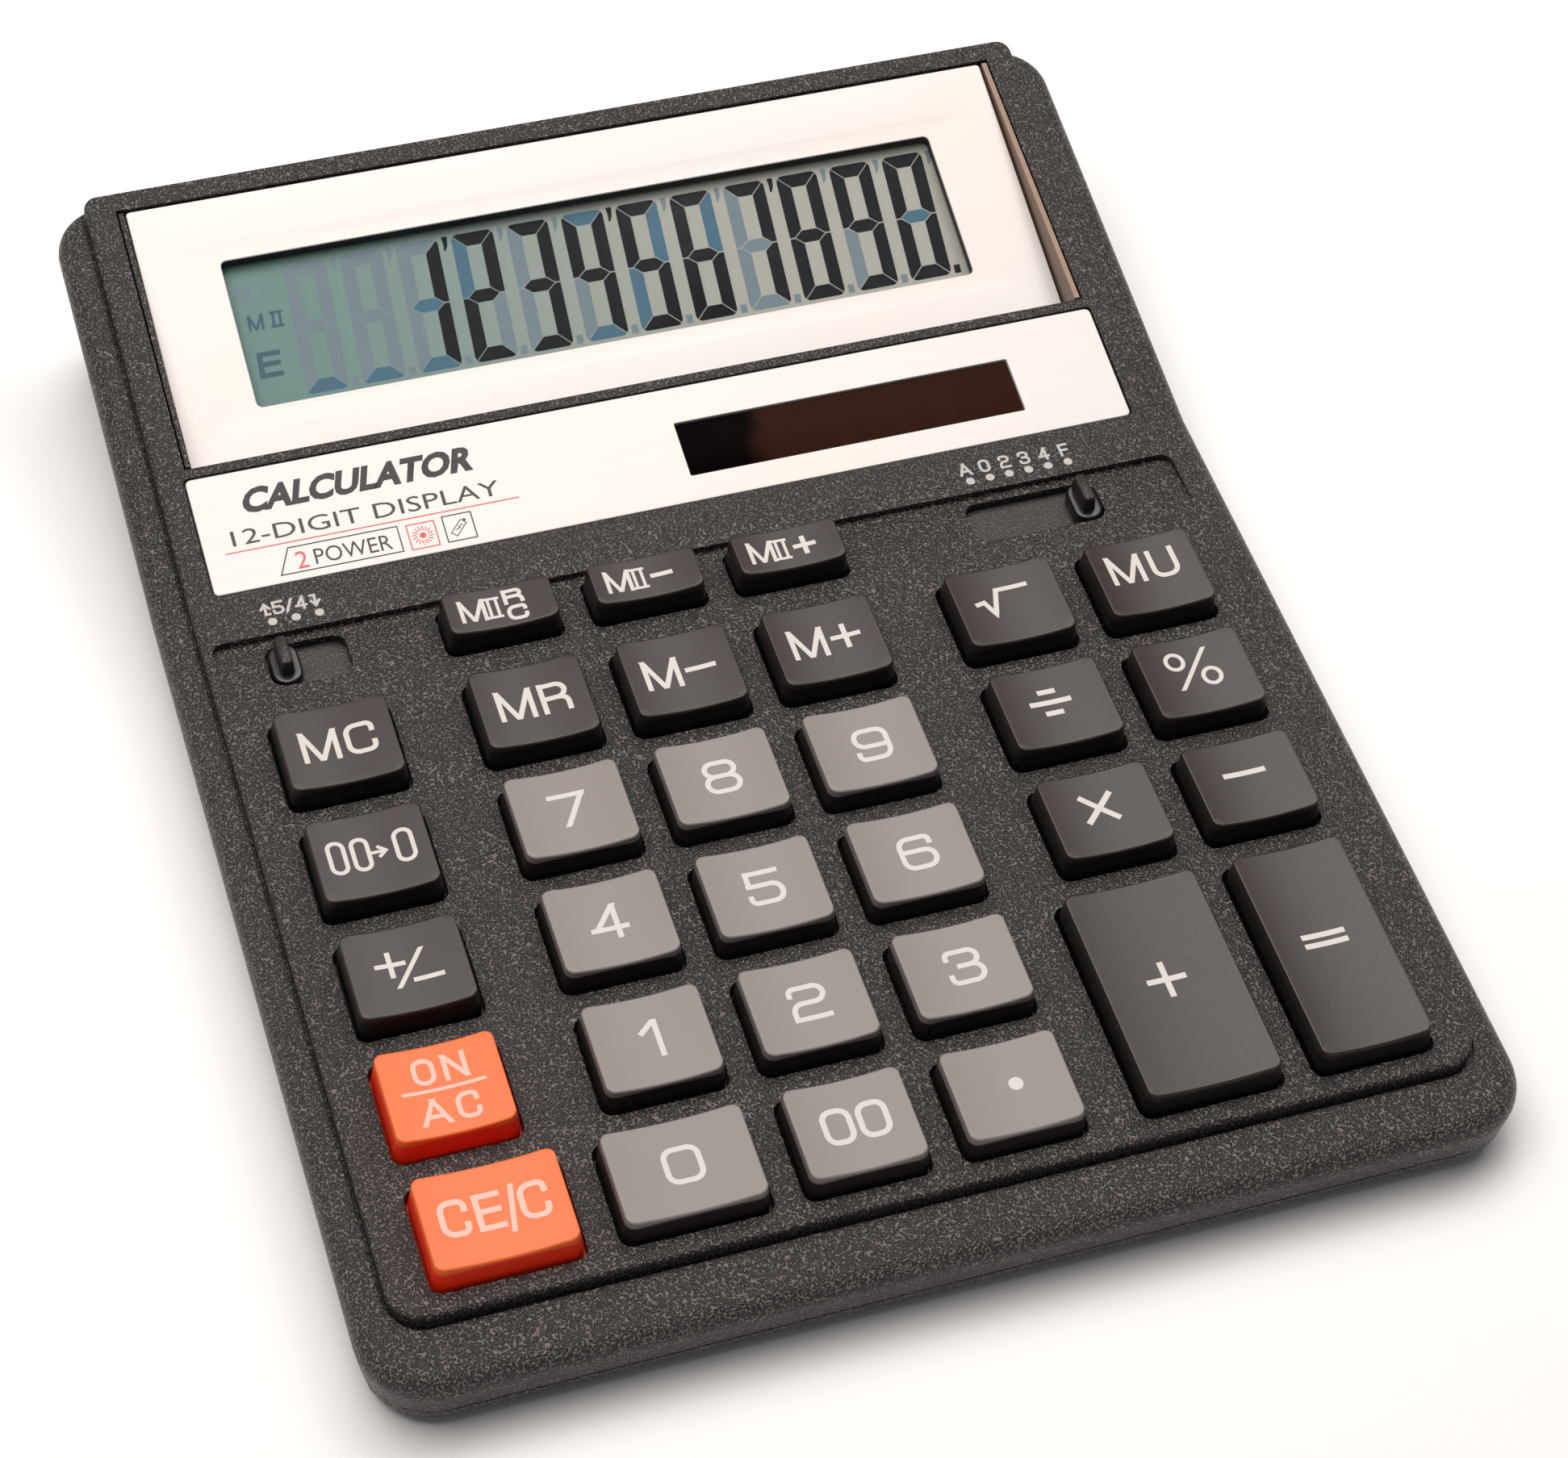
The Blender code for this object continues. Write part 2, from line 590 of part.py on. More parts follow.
def make_knob(name, x, slot):
    """A switch knob: an oval button with a thin fin, on a plate that stays under the case."""
    reach = slot[1] - slot[0] + GAP
    inside = PANEL_HALF - PANEL_WALL - GAP
    half_w = KNOB_WIDTH / 2
    half_d = SLOT_DEPTH / 2 - GAP
    plate_top = -WALL - GAP
    plate_low = plate_top - SWITCH_PLATE
    shape = bmesh.new()
    low = (-half_w, -half_d, plate_low + GAP)
    add_box(shape, low, (half_w, half_d, -KNOB_SINK), half_w - GAP, 4, KNOB_EDGE)
    knob = add_object(name, shape, "keypad", (x, -SWITCH_FROM_FOLD, 0), "knob_black")
    plate_d = half_d + SWITCH_PLATE
    plate_lowest = (-min(reach, x + inside), -plate_d, plate_low)
    plate_highest = (min(reach, inside - x), plate_d, plate_top)
    plate = box(f"{name}_plate", plate_lowest, plate_highest, "keypad")
    fin_shape = bmesh.new()
    fin_low = (-KNOB_FIN_WIDTH / 2, -half_d + FIN_FROM_FRONT, -WALL)
    fin_high = (KNOB_FIN_WIDTH / 2, half_d - FIN_FROM_BACK, KNOB_RISE)
    add_box(fin_shape, fin_low, fin_high, FIN_CORNER, shrink_top=FIN_DRAFT)
    fin = add_object(f"{name}_fin", fin_shape, "keypad")
    for helper in (plate, fin):
        helper.location = knob.location
    join(knob, plate, fin)
    return knob


def make_top_case():
    """The upper shell with its raised panel, wells, slots, screen seat and screw bosses."""
    def arc_section(angle):
        drop = RIM_ROUND * (1 - math.sin(angle))
        return flat(RIM_ROUND * (1 - math.cos(angle))), lambda y: rim_height(y) - drop

    low = PARTING_HEIGHT + GAP / 2
    sections = [(lambda y: wall_inset(y, low), flat(low))]
    sections += [arc_section(math.radians(angle)) for angle in (0, 30, 60, 90)]
    top_case = loft("top_case", CASE_PLAN, sections, "case_black")

    panel_sections = [
        (flat(0.0), lambda y: rim_height(y) - WALL / 2),
        (flat(0.0), lambda y: panel_height(y) - PANEL_EDGE),
        (flat(PANEL_EDGE), panel_height),
    ]
    panel = loft("panel_step", PANEL_PLAN, panel_sections)
    cavity = loft("case_cavity", CASE_PLAN, [
        (lambda y: WALL + wall_inset(y, low), flat(0.0)),
        (flat(WALL), lambda y: rim_height(y) - WALL),
    ])
    under_panel = loft("panel_cavity", PANEL_PLAN, [
        (flat(PANEL_WALL), lambda y: rim_height(y) - 2 * WALL),
        (flat(PANEL_WALL), lambda y: panel_height(y) - WALL),
    ])
    join(top_case, panel)
    cut(top_case, cavity, under_panel)

    bosses = bmesh.new()
    holes = bmesh.new()
    for x, y in SCREW_PLACES:
        hole_radius = SCREW_RADIUS + GAP
        boss_radius = hole_radius + BOSS_WALL
        bottom = BASE_POST_TOP + GAP
        under_panel_top = abs(x) + boss_radius + PANEL_EDGE <= PANEL_HALF
        roof = panel_height(y) if under_panel_top else rim_height(y)
        add_cylinder(bosses, x, y, bottom, roof - WALL / 2, boss_radius, sides=12)
        add_cylinder(holes, x, y, bottom - ROOT, SCREW_TIP_Z + 2 * GAP, hole_radius, sides=12)
    join(top_case, add_object("screw_bosses", bosses))
    cut(top_case, add_object("screw_holes", holes))
    cut(top_case, make_trough(), make_key_wells(), make_switch_slots())

    half = STRIP_WIDTH / 2 + GAP
    strip_end = STRIP_START + STRIP_LENGTH + GAP
    pocket_low = (-half, STRIP_START - GAP / 2, -STRIP_POCKET)
    pocket = box("strip_pocket", pocket_low, (half, strip_end, 3 * WALL), "display")
    cut(top_case, pocket, solar_box("solar_opening", SOLAR_MARGIN + GAP, -3 * WALL, 3 * WALL))
    add_screen_seat(top_case)
    return top_case


def solar_box(name, margin, low, high, material=None):
    """A plate at the solar window that is wider than it by a margin on every side."""
    left = SOLAR_LEFT - margin
    right = SOLAR_LEFT + SOLAR_WIDTH + margin
    front = SOLAR_START - margin
    back = SOLAR_START + SOLAR_LENGTH + margin
    return box(name, (left, front, low), (right, back, high), "display", material)


def add_screen_seat(top_case):
    """Walls and a ledge below the display frame that hold the leaning screen plate."""
    half = SCREEN_WIDTH / 2
    ledge_low = -SCREEN_PLATE - GAP - LEDGE_THICKNESS
    opening_low = -SCREEN_LENGTH
    rib = LEDGE_THICKNESS
    frame_back = in_plane("screen", "display", (0, SCREEN_TOP.y + rib, -WALL / 2))
    frame_front = in_plane("screen", "display", (0, SCREEN_START - rib, -WALL / 2))
    seat_profile = [
        (frame_back.y, ledge_low),
        (frame_back.y, frame_back.z),
        (frame_front.y, frame_front.z),
        (opening_low - rib, ledge_low),
    ]
    seat = side_prism("screen_seat", seat_profile, -half - rib, half + rib, "screen")
    front_wall = in_plane("screen", "display", (0, SCREEN_START, WALL))
    seat_top = -SCREEN_PLATE - GAP
    opening_profile = [
        (0.0, seat_top),
        (0.0, 3 * WALL),
        (front_wall.y, front_wall.z + WALL),
        (opening_low, seat_top),
    ]
    opening = side_prism("screen_opening", opening_profile, -half, half, "screen")
    through_low = (-half + SCREEN_LEDGE, opening_low + SCREEN_LEDGE, -8 * WALL)
    through = box("screen_through", through_low, (half - SCREEN_LEDGE, -SCREEN_LEDGE, WALL), "screen")
    join(top_case, seat)
    cut(top_case, opening, through)


def make_screen_plate():
    """The bright face round the window, with a cheek up each side wall of the opening."""
    half = SCREEN_WIDTH / 2 - GAP
    plate_low = (-half, -SCREEN_LENGTH + GAP, -SCREEN_PLATE)
    plate = box("screen_plate", plate_low, (half, -GAP, 0), "screen", "silver_plastic")
    low = in_plane("screen", "display", (0, SCREEN_START + GAP, 0))
    high = in_plane("screen", "display", (0, SCREEN_TOP.y - 2 * GAP, 0))
    profile = [
        (-2 * GAP, -SCREEN_PLATE / 2),
        (high.y, high.z),
        (low.y, low.z),
        (-SCREEN_LENGTH + 2 * GAP, -SCREEN_PLATE / 2),
    ]
    for side, name in ((-1, "left_cheek"), (1, "right_cheek")):
        edges = sorted((side * half, side * (half - CHEEK)))
        join(plate, side_prism(name, profile, *edges, "screen"))
    window_low = (-WINDOW_WIDTH / 2, -WINDOW_FROM_TOP - WINDOW_LENGTH, -2 * SCREEN_PLATE)
    window_high = (WINDOW_WIDTH / 2, -WINDOW_FROM_TOP, SCREEN_PLATE)
    cut(plate, box("window_opening", window_low, window_high, "screen", corner=WINDOW_CORNER))
    return plate


def window_box(name, margin, low, high, material=None):
    """A plate behind the window that is wider than it by a margin on every side."""
    half = WINDOW_WIDTH / 2 + margin
    front = -WINDOW_FROM_TOP - WINDOW_LENGTH - margin
    return box(name, (-half, front, low), (half, -WINDOW_FROM_TOP + margin, high), "screen", material)


LENS_TOP = -SCREEN_PLATE - GAP
GLASS_TOP = LENS_TOP - LENS_THICKNESS - GAP
GLASS_LOW = GLASS_TOP - GLASS_THICKNESS


def make_display_stack():
    """Lens, liquid-crystal glass and the tray that holds both behind the screen plate."""
    window_box("screen_lens", LENS_MARGIN, LENS_TOP - LENS_THICKNESS, LENS_TOP, "clear")
    window_box("lcd_glass", GLASS_MARGIN, GLASS_LOW, GLASS_TOP, "liquid_crystal")
    inside = LENS_MARGIN + GAP
    holder_low = GLASS_LOW - GAP - HOLDER_BACK
    holder = window_box("lcd_holder", inside + HOLDER_WALL, holder_low, LENS_TOP, "holder_white")
    hollow = window_box("holder_hollow", inside, GLASS_LOW - GAP, LENS_TOP + ROOT)
    front = -WINDOW_FROM_TOP - WINDOW_LENGTH
    gate_half = RIBBON_WIDTH / 2 + RIBBON_ROOM
    gate_low = (-gate_half, front - 2 * (inside + HOLDER_WALL), holder_low - RIBBON_ROOM)
    gate_high = (gate_half, front - GLASS_MARGIN + 2 * HOLDER_BACK, GLASS_LOW - GAP / 3)
    cut(holder, hollow, box("ribbon_gate", gate_low, gate_high, "screen"))


def make_solar_strip():
    """The bright strip below the screen and the solar cell behind its window."""
    half = STRIP_WIDTH / 2
    strip_shape = bmesh.new()
    strip_low = (-half, STRIP_START, -STRIP_THICKNESS)
    add_box(strip_shape, strip_low, (half, STRIP_START + STRIP_LENGTH, 0), STRIP_CORNER)
    strip = add_object("solar_strip", strip_shape, "display", material="silver_strip")
    cut(strip, solar_box("solar_window", 0.0, -2 * WALL, WALL))
    top = -STRIP_POCKET - GAP / 2
    solar_box("solar_cell", SOLAR_MARGIN, top - SOLAR_THICKNESS, top, "solar_brown")


BOARD_FRONT = -TOP_ROW_FROM_FOLD - 4 * ROW_PITCH - KEY_DEPTH / 2 - KEY_DRAFT - KEY_FLANGE
BOARD_BACK = -SHORT_ROW_FROM_FOLD + SHORT_KEY_DEPTH / 2 + BOARD_BEHIND_KEYS
MAT_BACK = -SHORT_ROW_FROM_FOLD + SHORT_KEY_DEPTH / 2 + KEY_DRAFT + KEY_FLANGE


def make_key_mat():
    """The rubber sheet with one collapsing dome below each key's stem."""
    half = BOARD_WIDTH / 2 - BOARD_MARGIN
    mat_low = (-half, BOARD_FRONT, MAT_TOP - MAT_THICKNESS)
    mat = box("key_mat", mat_low, (half, MAT_BACK, MAT_TOP), "keypad", "rubber_grey")
    domes = bmesh.new()
    for _, x, y, _, _ in KEYS:
        add_cylinder(domes, x, y, MAT_TOP - MAT_THICKNESS / 2, FLANGE_TOP, DOME_BASE, DOME_TOP, sides=8)
    join(mat, add_object("mat_domes", domes, "keypad"))


def make_board():
    """The circuit board below the mat, with a covered chip on its underside."""
    half = BOARD_WIDTH / 2
    underside = BOARD_TOP - BOARD_THICKNESS
    board_low = (-half, BOARD_FRONT - BOARD_MARGIN, underside)
    board = box("main_board", board_low, (half, BOARD_BACK, BOARD_TOP), "keypad", "board_green")
    chip = bmesh.new()
    chip_y = BOARD_BACK - CHIP_FROM_BACK
    middle = BOARD_TOP - BOARD_THICKNESS / 2
    add_cylinder(chip, 0, chip_y, underside - CHIP_HEIGHT, middle, CHIP_TIP_RADIUS, CHIP_RADIUS, sides=20)
    join(board, add_object("chip_cover", chip, "keypad"))


def make_ribbon():
    """The flat ribbon from the glass down to the back edge of the board."""
    front = -WINDOW_FROM_TOP - WINDOW_LENGTH - GLASS_MARGIN
    under_glass = GLASS_LOW - GAP
    start = PLANES["screen"] @ Vector((0, front + RIBBON_LAP / 2, under_glass))
    leave = PLANES["screen"] @ Vector((0, front - RIBBON_LAP, under_glass))
    arrive = PLANES["keypad"] @ Vector((0, BOARD_BACK + RIBBON_ROOM, BOARD_TOP + 2 * GAP))
    end = PLANES["keypad"] @ Vector((0, BOARD_BACK - RIBBON_LAP, BOARD_TOP + 2 * GAP))
    shape = bmesh.new()
    verts = [shape.verts.new((-RIBBON_WIDTH / 2, point.y, point.z)) for point in (start, leave, arrive, end)]
    edges = [shape.edges.new(pair) for pair in zip(verts, verts[1:])]
    grown = bmesh.ops.extrude_edge_only(shape, edges=edges)["geom"]
    moved = [item for item in grown if isinstance(item, bmesh.types.BMVert)]
    bmesh.ops.translate(shape, vec=(RIBBON_WIDTH, 0, 0), verts=moved)
    ribbon = add_object("lcd_ribbon", shape, material="ribbon_brown")
    solidify = ribbon.modifiers.new("thickness", "SOLIDIFY")
    solidify.thickness = RIBBON_THICKNESS
    solidify.offset = 0.0


def make_solar_lead():
    """The twin lead from the solar cell to the board."""
    x = SOLAR_LEFT + SOLAR_WIDTH + SOLAR_MARGIN - LEAD_FROM_END
    cell_low = -STRIP_POCKET - GAP / 2 - SOLAR_THICKNESS
    start = PLANES["display"] @ Vector((x, SOLAR_START, cell_low - GAP - LEAD_RADIUS))
    middle = PLANES["display"] @ Vector((x, SOLAR_START - LEAD_BULGE, cell_low - LEAD_DROP))
    end = PLANES["keypad"] @ Vector((x, BOARD_BACK - LEAD_FROM_END, BOARD_TOP + GAP + LEAD_RADIUS))
    curve = bpy.data.curves.new("solar_lead", "CURVE")
    curve.dimensions = "3D"
    curve.bevel_depth = LEAD_RADIUS
    curve.bevel_resolution = 2
    curve.use_fill_caps = True
    spline = curve.splines.new("POLY")
    spline.points.add(LEAD_STEPS)
    for index in range(LEAD_STEPS + 1):
        t = index / LEAD_STEPS
        point = (1 - t) ** 2 * start + 2 * t * (1 - t) * middle + t * t * end
        spline.points[index].co = (*point, 1.0)
    curve.materials.append(MATERIALS["lead_red"])
    PARTS.objects.link(bpy.data.objects.new("solar_lead", curve))


HEAD_LOW = FOOT_HEIGHT + SCREW_HEAD_SINK
HEAD_TOP = HEAD_LOW + SCREW_HEAD_HEIGHT
SEAT_Z = HEAD_TOP + GAP
BASE_POST_TOP = SEAT_Z + SEAT_THICKNESS
SCREW_TIP_Z = HEAD_TOP + SCREW_LENGTH


def make_screws():
    """Pan-head screws from below, each in its own counterbore."""
    names = [f"screw_{end}_{side}" for end in ("front", "middle", "back") for side in ("left", "right")]
    for name, (x, y) in zip(names, SCREW_PLACES):
        profile = [
            (0.0, SCREW_TIP_Z),
            (0.5 * SCREW_RADIUS, SCREW_TIP_Z),
            (SCREW_RADIUS, SCREW_TIP_Z - SCREW_RADIUS),
            (SCREW_RADIUS, HEAD_TOP),
            (SCREW_HEAD_RADIUS, HEAD_TOP),
            (SCREW_HEAD_RADIUS, HEAD_LOW + HEAD_EDGE),
            (SCREW_HEAD_RADIUS - HEAD_EDGE, HEAD_LOW),
            (0.0, HEAD_LOW),
        ]
        shape = bmesh.new()
        verts = [shape.verts.new((radius, 0, z)) for radius, z in profile]
        for pair in zip(verts, verts[1:]):
            shape.edges.new(pair)
        mesh = bpy.data.meshes.new(name)
        shape.to_mesh(mesh)
        shape.free()
        mesh.materials.append(MATERIALS["steel"])
        screw = bpy.data.objects.new(name, mesh)
        screw.location = (x, y, 0)
        PARTS.objects.link(screw)
        turn = screw.modifiers.new("turn", "SCREW")
        turn.axis = "Z"
        turn.steps = 12
        turn.render_steps = 12
        turn.use_merge_vertices = True
        turn.merge_threshold = 0.00001


CELL_Y = BACK_Y - CELL_FROM_BACK
DOOR_TOP = FLOOR_Z - GAP / 3
DOOR_FLANGE_TOP = DOOR_TOP + DOOR_FLANGE_THICKNESS
DOOR_FRONT_Y = CELL_Y - DOOR_BEYOND_CELL
CHANNEL_TOP = DOOR_FLANGE_TOP + GAP
CELL_LOW = CHANNEL_TOP + 2 * GAP
CELL_TOP = CELL_LOW + CELL_HEIGHT


def base_sections(low, high):
    """Sections of the shallow base: a chamfer at the bottom and a drafted wall above it."""
    chamfer_top = low + BASE_CHAMFER
    return [
        (lambda y: BASE_CHAMFER + wall_inset(y, chamfer_top), flat(low)),
        (lambda y: wall_inset(y, chamfer_top), flat(chamfer_top)),
        (lambda y: wall_inset(y, high), flat(high)),
    ]


def make_door_channel():
    """Cutters for the door's plate and flange, open at the rear of the base."""
    narrow = DOOR_WIDTH / 2 + GAP
    wide = narrow + DOOR_FLANGE
    front = DOOR_FRONT_Y - GAP
    back = BACK_Y + BEYOND
    lower = box("door_channel", (CELL_X - narrow, front, 0), (CELL_X + narrow, back, CHANNEL_TOP))
    upper = box("flange_channel", (CELL_X - wide, front, DOOR_TOP - GAP), (CELL_X + wide, back, CHANNEL_TOP))
    return lower, upper


def make_base_shell():
    """The hollow tray with the lip that stands up inside the upper shell."""
    base = loft("bottom_case", CASE_PLAN, base_sections(FOOT_HEIGHT, PARTING_HEIGHT - GAP / 2), "case_black")
    lip_inset = WALL + GAP
    hollow_inset = lip_inset + LIP_WALL
    lip_high = PARTING_HEIGHT + LIP_HEIGHT
    lip = loft("base_lip", CASE_PLAN, [
        (lambda y: lip_inset + wall_inset(y, PARTING_HEIGHT), flat(PARTING_HEIGHT - 2 * ROOT)),
        (lambda y: lip_inset + wall_inset(y, PARTING_HEIGHT), flat(lip_high)),
    ])
    hollow = loft("base_hollow", CASE_PLAN, [
        (lambda y: hollow_inset + wall_inset(y, PARTING_HEIGHT), flat(FLOOR_Z)),
        (lambda y: hollow_inset + wall_inset(y, PARTING_HEIGHT), flat(lip_high + BEYOND)),
    ])
    join(base, lip)
    cut(base, hollow)
    return base


def make_bottom_case():
    """The base tray with its lip, screw posts, board posts and cell compartment."""
    base = make_base_shell()
    posts = bmesh.new()
    bores = bmesh.new()
    sinks = bmesh.new()
    sink = SCREW_HEAD_RADIUS + GAP
    for x, y in SCREW_PLACES:
        add_cylinder(posts, x, y, FLOOR_Z - ROOT, BASE_POST_TOP, sink + SINK_WALL, sides=12)
        add_cylinder(bores, x, y, 0, BASE_POST_TOP + BEYOND, SCREW_RADIUS + GAP, sides=12)
        add_cylinder(sinks, x, y, 0, SEAT_Z, sink, sides=12)
    board_posts = bmesh.new()
    for x in (-BOARD_WIDTH / 3, 0, BOARD_WIDTH / 3):
        for along in (BOARD_FRONT + POST_FROM_EDGE, BOARD_BACK - POST_FROM_EDGE):
            place = PLANES["keypad"] @ Vector((x, along, BOARD_TOP - BOARD_THICKNESS - 2 * GAP))
            add_cylinder(board_posts, place.x, place.y, FLOOR_Z - ROOT, place.z, BOARD_POST_RADIUS, sides=10)
    join(base, add_object("screw_posts", posts), add_object("board_posts", board_posts))
    cut(base, add_object("screw_bores", bores), add_object("screw_sinks", sinks))

    rail = DOOR_WIDTH / 2 + GAP + DOOR_FLANGE + CELL_WALL
    rails_low = (CELL_X - rail, DOOR_FRONT_Y - GAP - CELL_WALL, FLOOR_Z - ROOT)
    rails = box("cell_rails", rails_low, (CELL_X + rail, CELL_Y + DOOR_BEYOND_CELL, CELL_TOP))
    cell_space = bmesh.new()
    space_radius = CELL_RADIUS + 3 * GAP + CONTACT_THICKNESS
    add_cylinder(cell_space, CELL_X, CELL_Y, DOOR_TOP, CELL_TOP + BEYOND, space_radius, sides=20)
    join(base, rails)
    cut(base, *make_door_channel(), add_object("cell_space", cell_space))


def make_battery_door():
    """The sliding door: a plate that carries on the base's outer shape, with a flange in the channel."""
    half = DOOR_WIDTH / 2
    wide = half + DOOR_FLANGE
    back = CELL_Y + DOOR_BEYOND_CELL
    door = loft("battery_door", CASE_PLAN, base_sections(FOOT_HEIGHT, PARTING_HEIGHT), "case_black")
    keep_high = (CELL_X + half, BACK_Y + BEYOND, DOOR_TOP - GAP)
    keep = box("door_shape", (CELL_X - half, DOOR_FRONT_Y, 0), keep_high)
    combine(door, keep, "INTERSECT")
    flange_low = (CELL_X - wide, DOOR_FRONT_Y, DOOR_TOP)
    flange = box("door_flange", flange_low, (CELL_X + wide, back, DOOR_FLANGE_TOP))
    web_low = (CELL_X - half, DOOR_FRONT_Y, DOOR_TOP - 2 * GAP)
    web = box("door_web", web_low, (CELL_X + half, back, DOOR_FLANGE_TOP))
    join(door, web, flange)


def make_side_contact():
    """The bent spring contact that lies along a part of the cell's side."""
    angles = [math.radians(60 + 60 * step / CONTACT_STEPS) for step in range(CONTACT_STEPS + 1)]
    inner = CELL_RADIUS + GAP
    outer = inner + CONTACT_THICKNESS
    rim = [(inner, angle) for angle in angles] + [(outer, angle) for angle in reversed(angles)]
    shape = bmesh.new()
    verts = []
    for radius, angle in rim:
        x = CELL_X + radius * math.cos(angle)
        y = CELL_Y + radius * math.sin(angle)
        verts.append(shape.verts.new((x, y, CELL_LOW + GAP)))
    grown = bmesh.ops.extrude_face_region(shape, geom=[shape.faces.new(verts)])["geom"]
    moved = [item for item in grown if isinstance(item, bmesh.types.BMVert)]
    bmesh.ops.translate(shape, vec=(0, 0, CELL_HEIGHT), verts=moved)
    add_object("cell_contact_side", shape, material="brass")


def make_cell():
    """The button cell and its two contacts: one over its top face, one at its side."""
    shape = bmesh.new()
    add_cylinder(shape, CELL_X, CELL_Y, CELL_LOW, CELL_TOP, CELL_RADIUS, sides=24)
    cell = add_object("button_cell", shape, material="steel")
    bevel = cell.modifiers.new("rim", "BEVEL")
    bevel.width = CELL_EDGE
    bevel.segments = 1
    bevel.limit_method = "ANGLE"
    low = CELL_TOP + GAP
    contact_low = (CELL_X - CONTACT_HALF_WIDTH, CELL_Y - CELL_RADIUS - CONTACT_TAIL, low)
    contact_back = CELL_Y + CELL_RADIUS - CONTACT_REACH
    contact_high = (CELL_X + CONTACT_HALF_WIDTH, contact_back, low + CONTACT_THICKNESS)
    box("cell_contact_top", contact_low, contact_high, material="brass")
    make_side_contact()


def make_feet():
    """Four rubber feet under the corners."""
    for end, y in (("front", FRONT_Y + FOOT_FROM_END), ("back", BACK_Y - FOOT_FROM_END)):
        for name, side in (("left", -1), ("right", 1)):
            shape = bmesh.new()
            add_cylinder(shape, 0, 0, 0, FOOT_HEIGHT - GAP, FOOT_RADIUS - FOOT_DRAFT, FOOT_RADIUS, sides=20)
            x = side * (CASE_WIDTH / 2 - FOOT_FROM_SIDE)
            add_object(f"foot_{end}_{name}", shape, at=(x, y, 0), material="rubber_black")


def main():
    """Build every piece."""
    make_top_case()
    make_bottom_case()
    make_battery_door()
    for name, x, y, width, depth in KEYS:
        make_key(name, x, y, width, depth)
    make_knob("rounding_switch_knob", ROUNDING_FIRST_X, ROUNDING_SLOT)
    make_knob("decimal_switch_knob", DECIMAL_LAST_X, DECIMAL_SLOT)
    make_screen_plate()
    make_display_stack()
    make_solar_strip()
    make_key_mat()
    make_board()
    make_ribbon()
    make_solar_lead()
    make_screws()
    make_cell()
    make_feet()


main()
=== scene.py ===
"""Looks of the desk calculator: shells, legended keys, liquid-crystal screen, bright trims, print, studio."""

from __future__ import annotations

import logging
import math
from collections.abc import Callable, Iterable, Sequence
from dataclasses import dataclass, field
from enum import Enum

import bmesh
import bpy
from mathutils import Matrix, Vector


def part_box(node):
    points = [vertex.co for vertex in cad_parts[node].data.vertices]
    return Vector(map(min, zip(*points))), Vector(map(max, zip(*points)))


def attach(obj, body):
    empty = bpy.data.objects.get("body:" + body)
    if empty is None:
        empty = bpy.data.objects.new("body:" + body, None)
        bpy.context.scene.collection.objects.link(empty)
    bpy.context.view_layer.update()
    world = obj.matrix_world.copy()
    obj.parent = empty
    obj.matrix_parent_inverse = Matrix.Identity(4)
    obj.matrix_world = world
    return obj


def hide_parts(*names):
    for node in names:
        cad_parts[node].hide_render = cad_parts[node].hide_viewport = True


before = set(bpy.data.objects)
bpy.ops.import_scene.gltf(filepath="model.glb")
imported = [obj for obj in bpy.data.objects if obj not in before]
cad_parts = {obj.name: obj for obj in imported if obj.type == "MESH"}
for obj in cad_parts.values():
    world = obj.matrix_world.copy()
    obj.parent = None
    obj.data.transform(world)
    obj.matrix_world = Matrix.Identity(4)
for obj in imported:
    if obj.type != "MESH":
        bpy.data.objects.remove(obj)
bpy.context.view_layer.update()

MM = 0.001
PRINT_ROOT = 0.05 * MM
LOG = logging.getLogger("desk_calculator")

Color = tuple[float, float, float]
Point2 = tuple[float, float]
Surface = Callable[[float, float], float]


# Node trees


class Graph:
    """A node tree that is being built, for a material or for Geometry Nodes."""

    def __init__(self, tree: bpy.types.NodeTree) -> None:
        """Take over an emptied tree.

        Args:
            tree: The tree to fill.
        """
        self.tree = tree
        tree.nodes.clear()

    def node(
        self,
        kind: str,
        settings: dict[str, object] | None = None,
        inputs: dict[str | int, object] | None = None,
    ) -> bpy.types.Node:
        """Add one node.

        Args:
            kind: The node's type name.
            settings: The node's own settings, which are set first; "stops" fills a ramp.
            inputs: Values or links of its sockets, by name or number.

        Returns:
            The new node.
        """
        node = self.tree.nodes.new(kind)
        for name, value in (settings or {}).items():
            if name == "stops":
                self._fill_ramp(node, value)
            else:
                setattr(node, name, value)
        for key, value in (inputs or {}).items():
            self.feed(node.inputs[key], value)
        return node

    def feed(self, socket: bpy.types.NodeSocket, value: object) -> None:
        """Link or set one input socket.

        Args:
            socket: The input.
            value: A Field, a socket, or a plain value.
        """
        if isinstance(value, Field):
            value = value.socket
        if isinstance(value, bpy.types.NodeSocket):
            self.tree.links.new(value, socket)
        else:
            socket.default_value = value

    @staticmethod
    def _fill_ramp(node: bpy.types.Node, stops: Sequence[tuple[float, tuple[float, ...]]]) -> None:
        """Replace a ramp's stops."""
        elements = node.color_ramp.elements
        while len(elements) < len(stops):
            elements.new(1.0)
        for element, (position, color) in zip(elements, stops):
            element.position = position
            element.color = color

    def value(self, node: bpy.types.Node, output: str | int = 0) -> Field:
        """Wrap one output of a node for arithmetic."""
        return Field(self, node.outputs[output])

    def blend(self, factor: Field | float, first: object, second: object) -> bpy.types.NodeSocket:
        """Mix two colours.

        Args:
            factor: 0 for the first colour, 1 for the second.
            first: A colour or a link.
            second: A colour or a link.

        Returns:
            The mixed colour's socket.
        """
        mix = self.node("ShaderNodeMix", {"data_type": "RGBA"}, {0: factor, 6: first, 7: second})
        return mix.outputs[2]


